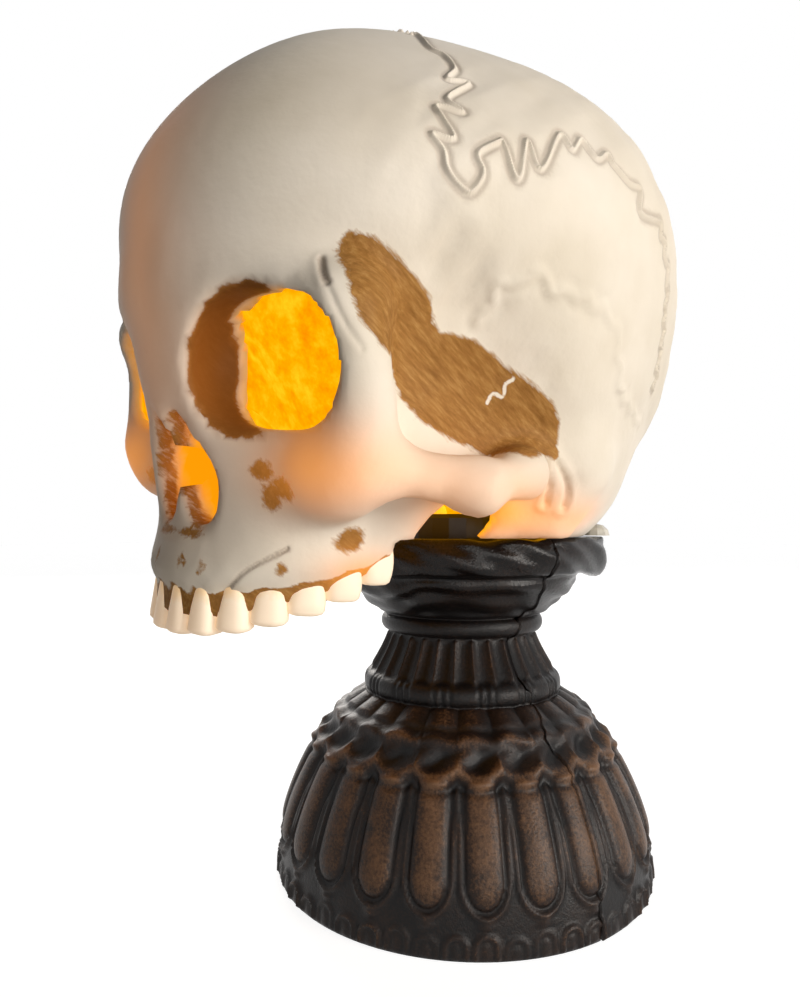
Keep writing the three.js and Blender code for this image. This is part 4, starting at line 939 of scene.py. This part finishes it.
def tongues(angle, z, radius):
    """Tongue panels: a long bulge with a pointed round foot, a thin edging, a spacer and a bud."""
    part, _ = wave_part(angle, PANELS)
    pitch = 2 * math.pi * radius / PANELS
    across = part * pitch
    half = TONGUE_HALF * pitch
    foot = TONGUE_FOOT + TONGUE_POINT * half
    edge = np.where(z > foot, np.abs(across) - half, np.hypot(across, (z - foot) / TONGUE_POINT) - half)
    body = TONGUE_HIGH * bulge(np.maximum(edge + half, 0), half) ** 0.75
    edging = EDGING_HIGH * bell(edge - EDGING_OFF, EDGING_WIDE) * band(z, (6.2, 8.4), (22, 29))
    spacer = SPACER_HIGH * bell(np.abs(across) - pitch / 2, SPACER_WIDE) * ramp(z, 13, 18)
    bud = BUD_HIGH * bell(np.hypot(across / BUD_WIDE, z - BUD_MIDDLE), 1.0)
    return (body + spacer) * ramp(-z, -33.5, -32) + edging + bud


ARCHES = 2 * PANELS
ARCH_HALF = 2.3


def foot_arches(angle, z, radius):
    """Two small uneven arches to a panel along the foot: raised half rings with a low filling."""
    part, number = wave_part(angle, ARCHES)
    across = part * 2 * math.pi * radius / ARCHES
    top = uneven(number, 2.6, 0.5, 2.3)
    ring = np.where(z > top, np.hypot(across, z - top), np.abs(across)) - ARCH_HALF
    arch = uneven(number, 0.75, 0.3, 1.7) * bell(ring, 0.5) + 0.4 * ramp(-ring, 0.6, 1.8)
    return arch * band(z, (0.0, 0.9), (6.0, 7.4))


SWAG_EDGE, SWAG_HANG = 32.0, 1.7
ROPE_MIDDLE, ROPE_SLANT = 36.5, 0.1
UPPER_ROLL = 40.4


def shoulder_swags(angle, z):
    """Rope of swags: a roll that hangs over each tongue, slanted ridges, hollows and a lumpy upper roll."""
    part, number = wave_part(angle, PANELS)
    edge = SWAG_EDGE + SWAG_HANG * (2 * part) ** 2
    lower = uneven(number, 1.4, 0.25, 1.3) * bell(z - edge - 1.4, 1.5)
    under = -0.5 * bell(z - edge + 1.1, 0.9)
    slant = angle * PANELS / (2 * math.pi) - ROPE_SLANT * (z - ROPE_MIDDLE)
    slant = slant - np.round(slant)
    ridge = uneven(number, 0.75, 0.3, 1.9) * bell(np.abs(slant) - 0.5, 0.26) * bell(z - 36.8, 3.0)
    hollow = -0.7 * bell(slant, 0.22) * bell(z - 37.4, 2.0)
    wave = 0.5 * np.cos(2 * math.pi * part + 1)
    upper = uneven(number, 1.1, 0.3, 2.1) * bell(z - UPPER_ROLL - wave, 1.3)
    return lower + under + ridge + hollow + upper


PETAL_HIGH = 0.9


def petals(angle, z):
    """Ring of petals on the slope below the torus."""
    part, _ = wave_part(angle, PANELS)
    return PETAL_HIGH * np.cos(part * math.pi) ** 0.7 * band(z, (42.2, 43.2), (45.4, 46.6))


BEADS, FLUTES = 15, 30
BEAD_DEEP = 0.7


def beads(angle, z):
    """Bead and reel on the torus."""
    part, _ = wave_part(angle, BEADS)
    notch = bell(np.abs(part) - 0.5, 0.06) + 0.7 * bell(np.abs(part) - 0.32, 0.05)
    return -BEAD_DEEP * notch * bell(z - TORUS_MIDDLE, 2.2)


def flutes(angle, z):
    """Flutes of the neck: round hollows between narrow ribs."""
    part, _ = wave_part(angle, FLUTES)
    return (1.1 * np.abs(2 * part) ** 2.2 - 0.3) * band(z, (51.0, 52.5), (60.5, 62.2))


EAR_ANGLE = math.radians(52) + SEAM_TURN
EAR_HALF = math.radians(16)
EAR_REACH = 4.4


def rim_lumps(angle, z):
    """Uneven rim: slow waves round it, and the ear that reaches out under the back of the skull."""
    here = ramp(z, 77.6, 79.0)
    slow = 0.35 * np.sin(5 * angle + 1)
    slow += 0.28 * (np.sin(9 * angle + 0.5 * z) + np.sin(17 * angle + 2 + 1.1 * z))
    off = np.angle(np.exp(1j * (angle - EAR_ANGLE)))
    return here * (slow + EAR_REACH * bell(off, EAR_HALF))


def bowl_flow(angle, z):
    """Shallow uneven creases round the bowl, as plastic that flowed together."""
    here = band(z, (66.8, 68.5), (76.8, 78))
    line = np.sin(2 * math.pi * (z + 1.4 * np.sin(3 * angle + 0.7) + 0.8 * np.sin(7 * angle)) / 4.6)
    return here * (0.32 * line + 0.2 * np.sin(11 * angle + z))


print(PANELS, "tongue panels,", ARCHES, "arches,", BEADS, "beads and", FLUTES, "flutes")

# %% The wandering seam
SEAM_GAP = 0.15
SEAM_PROUD = 0.35
SEAM_REACH = math.radians(22)
SEAM_WANDER = [(0, 0), (30, 0), (36.9, 0.2), (40, -4.1), (42.4, -1.1), (45.2, 3), (48.9, 2.8),
               (50.4, -1.3), (55.2, -2.3), (60.8, -1.8), (65, 5), (67.1, 1.8), (69.6, 6.9), (73.7, 3.1),
               (78.5, 2.1), (87, 2)]


def seam_shift(z, turn):
    """Turn of the seam at a height, from straight lines between its corners, fading out away from it."""
    high, degrees = np.array(SEAM_WANDER, float).T
    return np.radians(np.interp(z, high, degrees)) * bell(turn, SEAM_REACH)


def ornament(angle, z, radius):
    """All the relief on the outside: what the brush of bronze paint catches, and what stands on the cup."""
    panel = angle - PANEL_TURN
    brushed = (tongues(panel, z, radius) + foot_arches(panel, z, radius) + shoulder_swags(panel, z)
               + petals(panel, z) + beads(angle, z) + flutes(angle, z))
    return brushed, rim_lumps(angle, z) + bowl_flow(angle, z)


print("the seam wanders by up to", max(abs(degrees) for _, degrees in SEAM_WANDER), "degrees")

# %% Two half shells


def half_shell(name, node, side):
    """Half of the pedestal: outer rows, inner rows and the foot as one loop, carried round half a turn."""
    columns = PANELS // 2 * COLUMNS_PER_PANEL
    start = SEAM_TURN + (0 if side > 0 else math.pi)
    line = np.concatenate([outer, inner])
    radius, z = line[:, :1], line[:, 1:]
    turn = np.linspace(0, 1, columns + 1)[None] * (math.pi - 2 * SEAM_GAP / radius) + SEAM_GAP / radius
    from_seam = turn if side > 0 else math.pi - turn
    angle = start + turn + seam_shift(z, from_seam)
    ahead = np.gradient(outer, axis=0)
    ahead /= np.linalg.norm(ahead, axis=1)[:, None]
    brushed, plain = ornament(angle, z, radius)
    brushed[len(outer) - 1:] = 0
    plain[len(outer) - 1:] = 0
    relief = (brushed + plain)[:len(outer)]
    if side > 0:
        relief += SEAM_PROUD * np.exp(-turn[:len(outer)] / 0.12) * (z[:len(outer)] < RIM_TOP - 2)
    reach = np.repeat(radius, columns + 1, 1)
    height = np.repeat(z, columns + 1, 1)
    reach[:len(outer)] += ahead[:, 1:] * relief
    height[:len(outer)] = np.clip(height[:len(outer)] - ahead[:, :1] * relief, 0, RIM_TOP)
    points = np.stack([reach * np.cos(angle), reach * np.sin(angle), height], 2)
    rows, size = reach.shape
    row, column = np.meshgrid(np.arange(rows), np.arange(size - 1), indexing="ij")
    a = row * size + column
    b = (row + 1) % rows * size + column
    quads = np.stack([a, a + 1, b + 1, b], 2).reshape(-1, 4)
    first = np.arange(rows) * size
    last = first[::-1] + size - 1
    loops = np.concatenate([quads.ravel(), first, last])
    starts = np.concatenate([np.arange(len(quads)) * 4, [quads.size, quads.size + rows]])
    piece = put_mesh(name, points.reshape(-1, 3), loops, starts)
    point_values(piece, "relief", brushed.ravel())
    point_values(piece, "gloss", (ramp(z, 66, 79) + 0 * angle).ravel())
    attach(piece, "stand")
    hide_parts(node)
    return piece


rear = half_shell("pedestal_rear", "pedestal_rear_shell", 1)
front = half_shell("pedestal_front", "pedestal_front_shell", -1)
print("pedestal halves:", triangles(rear), "and", triangles(front), "triangles")

# %% [markdown]
# ## Materials
# Every finish is a small tree of nodes on the object's own coordinates. One helper adds a node with its
# settings and links, and one turns a screen colour into the linear colour that a shader works in.

# %% Material helpers


def linear(hex_colour):
    """Linear colour of an sRGB hex value.

    Each channel is x / 12.92 up to 0.04045, and ((x + 0.055) / 1.055) ** 2.4 above that.
    """
    channel = [int(hex_colour[i:i + 2], 16) / 255 for i in (1, 3, 5)]
    return [c / 12.92 if c <= 0.04045 else ((c + 0.055) / 1.055) ** 2.4 for c in channel] + [1.0]


def connect(tree, node, inputs):
    """Sets a node's inputs: another node's socket is linked, a value is stored."""
    for key, value in inputs.items():
        if isinstance(value, bpy.types.NodeSocket):
            tree.links.new(value, node.inputs[key])
        else:
            node.inputs[key].default_value = value


def add(tree, kind, inputs=None, stops=(), **settings):
    """Adds a node with its settings, its inputs and, on a colour ramp, its stops: a place and a colour."""
    node = tree.nodes.new(kind)
    for key, value in settings.items():
        setattr(node, key, value)
    for _ in stops[2:]:
        node.color_ramp.elements.new(0.5)
    for number, (place, colour) in enumerate(stops):
        node.color_ramp.elements[number].position = place
        node.color_ramp.elements[number].color = linear(colour)
    connect(tree, node, inputs or {})
    return node


def new_material(name):
    """Material with an empty tree, its output and a principled shader."""
    material = bpy.data.materials.new(name)
    material.use_nodes = True
    tree = material.node_tree
    tree.nodes.clear()
    shader = add(tree, "ShaderNodeBsdfPrincipled")
    add(tree, "ShaderNodeOutputMaterial", {"Surface": shader.outputs[0]})
    return material, tree, shader


def per_mm(size):
    """Texture scale, in repeats to a metre, for a pattern of this size in millimetres."""
    return 1000 / size


def give(piece, material):
    """Puts a material on a piece in place of any other."""
    piece.data.materials.clear()
    piece.data.materials.append(material)


print("mid grey on the screen is", round(linear("#808080")[0], 3), "in linear light")

# %% [markdown]
# ## Moulded bone plastic
# The skull is soft PVC, cast in a mould that gave it a fine grain, and brown paint was dragged over its
# hollows with a stiff brush. The lamp shows through it. Real light through a thin wall is slow to compute
# and is lost in an exported model, so the plastic gives off its own light where the lamp would shine.

# %% The bone's finish
CLOUD_MM, GRAIN_MM, FLAME_MM = 35, 3, 7
HAIR_MM = 0.9
HAIR_TURN = (-0.56, 0.0, 0.0)
HAIR_STRETCH = (1.0, 7.0, 1.0)
PAINT_FROM, PAINT_FULL = 0.82, 1.08


def bone_plastic():
    """Translucent PVC, moulded and touched up with brown paint: satin cream that glows by the lamp."""
    material, tree, shader = new_material("moulded_bone_plastic")
    place = add(tree, "ShaderNodeTexCoord").outputs["Object"]
    value = {name: add(tree, "ShaderNodeAttribute", attribute_name=name).outputs["Fac"]
             for name in ("lit", "nose", "warm", "paint", "painted_shade")}
    cloud = add(tree, "ShaderNodeTexNoise", {"Vector": place, "Scale": per_mm(CLOUD_MM), "Detail": 4.0})
    cream = add(tree, "ShaderNodeValToRGB", {0: cloud.outputs[0]}, [(0.3, "#dad0be"), (0.7, "#ede5d8")])
    # Brush hairs: noise drawn out along the stroke, coarser than real hairs so that it shows.
    stretch = add(tree, "ShaderNodeMapping",
                  {"Vector": place, "Rotation": HAIR_TURN, "Scale": HAIR_STRETCH}, vector_type="TEXTURE")
    hair = add(tree, "ShaderNodeTexNoise", {"Vector": stretch.outputs[0], "Scale": per_mm(HAIR_MM),
                                            "Detail": 5.0, "Roughness": 0.7})
    brown = add(tree, "ShaderNodeValToRGB", {0: hair.outputs[0]},
                [(0.3, "#81592b"), (0.5, "#976b37"), (0.72, "#b3884f")])
    loose = add(tree, "ShaderNodeMath", {0: hair.outputs[0], 1: 0.9, 2: value["paint"]},
                operation="MULTIPLY_ADD")
    cover = add(tree, "ShaderNodeMapRange",
                {"Value": loose.outputs[0], "From Min": PAINT_FROM, "From Max": PAINT_FULL})
    painted = add(tree, "ShaderNodeMix", {0: cover.outputs[0], 6: cream.outputs[0], 7: brown.outputs[0]},
                  data_type="RGBA")
    # Painted shade: dark brown laid over the suture grooves, the cracks and the eye sockets.
    shaded = add(tree, "ShaderNodeMix", {0: value["painted_shade"], 6: painted.outputs[2], 7: linear("#5c3b1d")},
                data_type="RGBA")
    # Where the lamp's light comes through the wall, the base colour is also painted amber as part of that
    # glow.
    amber = add(tree, "ShaderNodeMix", {0: value["warm"], 6: shaded.outputs[2], 7: linear("#d98a3c")},
                data_type="RGBA")
    either = add(tree, "ShaderNodeMath", {0: value["lit"], 1: value["nose"]}, operation="MAXIMUM")
    inside = either.outputs[0]
    base = add(tree, "ShaderNodeMix", {0: inside, 6: amber.outputs[2], 7: linear("#5a2c00")},
               data_type="RGBA")
    # The lamp's light: uneven and yellow inside, orange in the nose, amber where it comes through the wall.
    flame = add(tree, "ShaderNodeTexNoise", {"Vector": place, "Scale": per_mm(FLAME_MM),
                                             "Detail": 6.0, "Roughness": 0.65})
    glow = add(tree, "ShaderNodeValToRGB", {0: flame.outputs[0]},
               [(0.3, "#f28c00"), (0.5, "#ffb000"), (0.7, "#ffd21e")])
    deep = add(tree, "ShaderNodeMix", {0: value["nose"], 6: glow.outputs[0], 7: linear("#fa9c06")},
               data_type="RGBA")
    through = add(tree, "ShaderNodeValToRGB", {0: value["warm"]},
                  [(0.0, "#ff9438"), (0.35, "#ff9830"), (1.0, "#ffa018")])
    shine = add(tree, "ShaderNodeMix", {0: inside, 6: through.outputs[0], 7: deep.outputs[2]},
                data_type="RGBA")
    power = add(tree, "ShaderNodeMath", {0: inside, 1: value["warm"]}, operation="ADD", use_clamp=True)
    grain = add(tree, "ShaderNodeTexNoise", {"Vector": place, "Scale": per_mm(GRAIN_MM), "Detail": 3.0})
    bump = add(tree, "ShaderNodeBump", {"Height": grain.outputs[0], "Strength": 0.12, "Distance": MM})
    connect(tree, shader, {"Base Color": base.outputs[2], "Emission Color": shine.outputs[2],
                           "Emission Strength": power.outputs[0], "Normal": bump.outputs[0],
                           "Roughness": 0.5, "Specular IOR Level": 0.06})
    return material


give(skull, bone_plastic())
print("skull finish:", skull.active_material.name)


# %% Tooth plastic
WASH_MM = 2.5


def tooth_plastic():
    """The same PVC on the teeth: cream crowns, with ochre wash that stays near the gum, and a faint painted
    glow for the light on them.
    """
    material, tree, shader = new_material("moulded_tooth_plastic")
    place = add(tree, "ShaderNodeTexCoord").outputs["Object"]
    root = add(tree, "ShaderNodeAttribute", attribute_name="root").outputs["Fac"]
    cloud = add(tree, "ShaderNodeTexNoise", {"Vector": place, "Scale": per_mm(WASH_MM), "Detail": 4.0})
    high = add(tree, "ShaderNodeMath", {0: cloud.outputs[0], 1: 0.35, 2: root}, operation="MULTIPLY_ADD")
    colour = add(tree, "ShaderNodeValToRGB", {0: high.outputs[0]},
                 [(0.5, "#e6dccb"), (0.72, "#d8bd8c"), (0.85, "#9a6a26")])
    # The faint emission is painted light that brightens the crowns.
    connect(tree, shader, {"Base Color": colour.outputs[0], "Roughness": 0.4, "Specular IOR Level": 0.2,
                           "Emission Color": linear("#ffd0a0"), "Emission Strength": 0.3})
    return material


give(teeth, tooth_plastic())
print("tooth finish:", teeth.active_material.name)


# %% [markdown]
# ## Dry-brushed bronze
# The pedestal is black ABS. A brush with almost no bronze paint left on it was drawn over the ornament, so
# the paint caught on what stands proud and left the hollows black. The height of the ornament is stored on
# the points, and two noises break up the edge of the paint as the hairs of the brush do.

# %% The pedestal's finish
SPECK_MM, PATCH_MM = 0.7, 9
BRUSH_FROM, BRUSH_FULL = 2.3, 4.8


def dry_brushed_bronze():
    """Black ABS with bronze paint that a dry brush left on the ornament: satin, and glossier at the rim."""
    material, tree, shader = new_material("dry_brushed_bronze_plastic")
    place = add(tree, "ShaderNodeTexCoord").outputs["Object"]
    relief = add(tree, "ShaderNodeAttribute", attribute_name="relief").outputs["Fac"]
    gloss = add(tree, "ShaderNodeAttribute", attribute_name="gloss").outputs["Fac"]
    speck = add(tree, "ShaderNodeTexNoise", {"Vector": place, "Scale": per_mm(SPECK_MM),
                                             "Detail": 3.0, "Roughness": 0.7})
    patch = add(tree, "ShaderNodeTexNoise", {"Vector": place, "Scale": per_mm(PATCH_MM),
                                             "Detail": 4.0, "Roughness": 0.6})
    high = add(tree, "ShaderNodeMath", {0: speck.outputs[0], 1: 2.6, 2: relief}, operation="MULTIPLY_ADD")
    more = add(tree, "ShaderNodeMath", {0: patch.outputs[0], 1: 2.4, 2: high.outputs[0]},
               operation="MULTIPLY_ADD")
    brush = add(tree, "ShaderNodeMapRange",
                {"Value": more.outputs[0], "From Min": BRUSH_FROM, "From Max": BRUSH_FULL})
    colour = add(tree, "ShaderNodeValToRGB", {0: brush.outputs[0]},
                 [(0.0, "#0d0b0b"), (0.45, "#251a14"), (1.0, "#6f523b")])
    sheen = add(tree, "ShaderNodeMapRange", {"Value": gloss, "To Min": 0.38, "To Max": 0.18})
    bump = add(tree, "ShaderNodeBump", {"Height": speck.outputs[0], "Strength": 0.3, "Distance": MM / 2})
    connect(tree, shader, {"Base Color": colour.outputs[0], "Roughness": sheen.outputs[0],
                           "Specular IOR Level": 0.18, "Normal": bump.outputs[0]})
    return material


bronze = dry_brushed_bronze()
for piece in (rear, front):
    give(piece, bronze)
print("pedestal finish:", bronze.name)


# %% [markdown]
# ## The small parts
# The parts inside and underneath keep their CAD meshes. Each gets the finish of what it is made of, with a
# slight cloud between two colours, so that no surface is perfectly even.

# %% Small parts


def plain_finish(name, low, high, size, roughness, metallic=0.0, glow=None):
    """Finish with a slight cloud of a size in millimetres between two colours."""
    material, tree, shader = new_material(name)
    place = add(tree, "ShaderNodeTexCoord").outputs["Object"]
    cloud = add(tree, "ShaderNodeTexNoise", {"Vector": place, "Scale": per_mm(size), "Detail": 4.0})
    colour = add(tree, "ShaderNodeValToRGB", {0: cloud.outputs[0]}, [(0.35, low), (0.65, high)])
    connect(tree, shader, {"Base Color": colour.outputs[0], "Roughness": roughness, "Metallic": metallic})
    if glow:
        connect(tree, shader, {"Emission Color": linear(glow), "Emission Strength": 1.0})
    return material


# Moulded plastic and solder mask shine softly, sheaths are satin, and clear epoxy and glue are glossy.
FINISHES = {
    "black": plain_finish("moulded_black_abs", "#0f0f10", "#1b1b1c", 6, 0.35),
    "board": plain_finish("solder_mask_green", "#1f4a2c", "#2c6038", 4, 0.4),
    "led": plain_finish("clear_epoxy_lamp", "#ffcf60", "#ffe090", 2, 0.15, glow="#ffb428"),
    "steel": plain_finish("zinc_plated_steel", "#9a9da0", "#b4b7ba", 3, 0.35, metallic=1.0),
    "cell": plain_finish("printed_cell_sleeve", "#22304a", "#2b3b58", 8, 0.3),
    "red": plain_finish("red_pvc_sheath", "#8c1a17", "#a3211d", 3, 0.45),
    "lead": plain_finish("black_pvc_sheath", "#151516", "#1e1e20", 3, 0.45),
    "glue": plain_finish("hot_melt_glue", "#b5b1a6", "#cfcbc0", 3, 0.2),
}
for part in frame["record"]["subparts"]:
    if part["material_slot"] in FINISHES:
        give(frame["nodes"][part["node"]], FINISHES[part["material_slot"]])
print("finishes for small parts:", len(FINISHES))

# %% [markdown]
# ## Floor and light
# The photograph has a plain white ground and a large soft light from the right, with a little light from
# low in front and from the room. A second large lamp stands behind, so that the back shows in other views.
# The floor and the world look white to the camera, but light the object no more than a pale room does.

# %% Floor and world


def seen_directly(tree):
    """1 for rays that come from the camera or by a reflection or a clear surface, else 0."""
    path = add(tree, "ShaderNodeLightPath").outputs
    either = add(tree, "ShaderNodeMath", {0: path["Is Camera Ray"], 1: path["Is Glossy Ray"]},
                 operation="MAXIMUM")
    return add(tree, "ShaderNodeMath", {0: either.outputs[0], 1: path["Is Transmission Ray"]},
               operation="MAXIMUM").outputs[0]


FLOOR_HALF = 3000.0
FLOOR_LIGHT = 0.9
floor_corners = np.array([(-1, -1, 0), (1, -1, 0), (1, 1, 0), (-1, 1, 0)]) * FLOOR_HALF
floor = put_mesh("floor", floor_corners, np.arange(4), [0])
paper, floor_tree, floor_shader = new_material("pale_studio_paper")
own_light = add(floor_tree, "ShaderNodeMath", {0: seen_directly(floor_tree), 1: FLOOR_LIGHT},
                operation="MULTIPLY")
connect(floor_tree, floor_shader, {"Base Color": linear("#9a9a9a"), "Roughness": 0.9,
                                   "Emission Color": (1, 1, 1, 1),
                                   "Emission Strength": own_light.outputs[0]})
give(floor, paper)

ROOM_LIGHT = 0.03
world = bpy.data.worlds.new("studio")
bpy.context.scene.world = world
world.use_nodes = True
sky = world.node_tree
sky.nodes.clear()
strength = add(sky, "ShaderNodeMapRange",
               {"Value": seen_directly(sky), "To Min": ROOM_LIGHT, "To Max": 1.0})
background = add(sky, "ShaderNodeBackground", {"Color": (1, 1, 1, 1), "Strength": strength.outputs[0]})
add(sky, "ShaderNodeOutputWorld", {"Surface": background.outputs[0]})
print("floor", 2 * FLOOR_HALF, "mm wide, room light", ROOM_LIGHT)

# %% Lamps


def soft_lamp(name, place, target, size, power, colour):
    """Square lamp that faces a target."""
    lamp = bpy.data.objects.new(name, bpy.data.lights.new(name, "AREA"))
    lamp.data.size = size
    lamp.data.energy = power
    lamp.data.color = linear(colour)[:3]
    lamp.location = place
    away = np.array(place) - np.array(target)
    lamp.rotation_euler = (math.atan2(math.hypot(away[0], away[1]), away[2]), 0,
                           math.atan2(away[1], away[0]) + math.pi / 2)
    bpy.context.scene.collection.objects.link(lamp)


MIDDLE = (0.0, -0.02, 0.12)
soft_lamp("key_light", (1.0, 0.2, 0.22), MIDDLE, 0.4, 8.9, "#fff9f2")
soft_lamp("low_light", (0.34, -0.2, 0.02), MIDDLE, 0.2, 0.68, "#fff9f2")
soft_lamp("back_light", (-0.8, 0.5, 0.5), MIDDLE, 0.6, 7.0, "#fff9f2")
soft_lamp("fill_light", (0.45, -0.75, 0.5), MIDDLE, 0.7, 0.15, "#fff2e4")
print("four soft lamps face", MIDDLE)

# %% Finish
bpy.context.scene.view_settings.view_transform = "Standard"
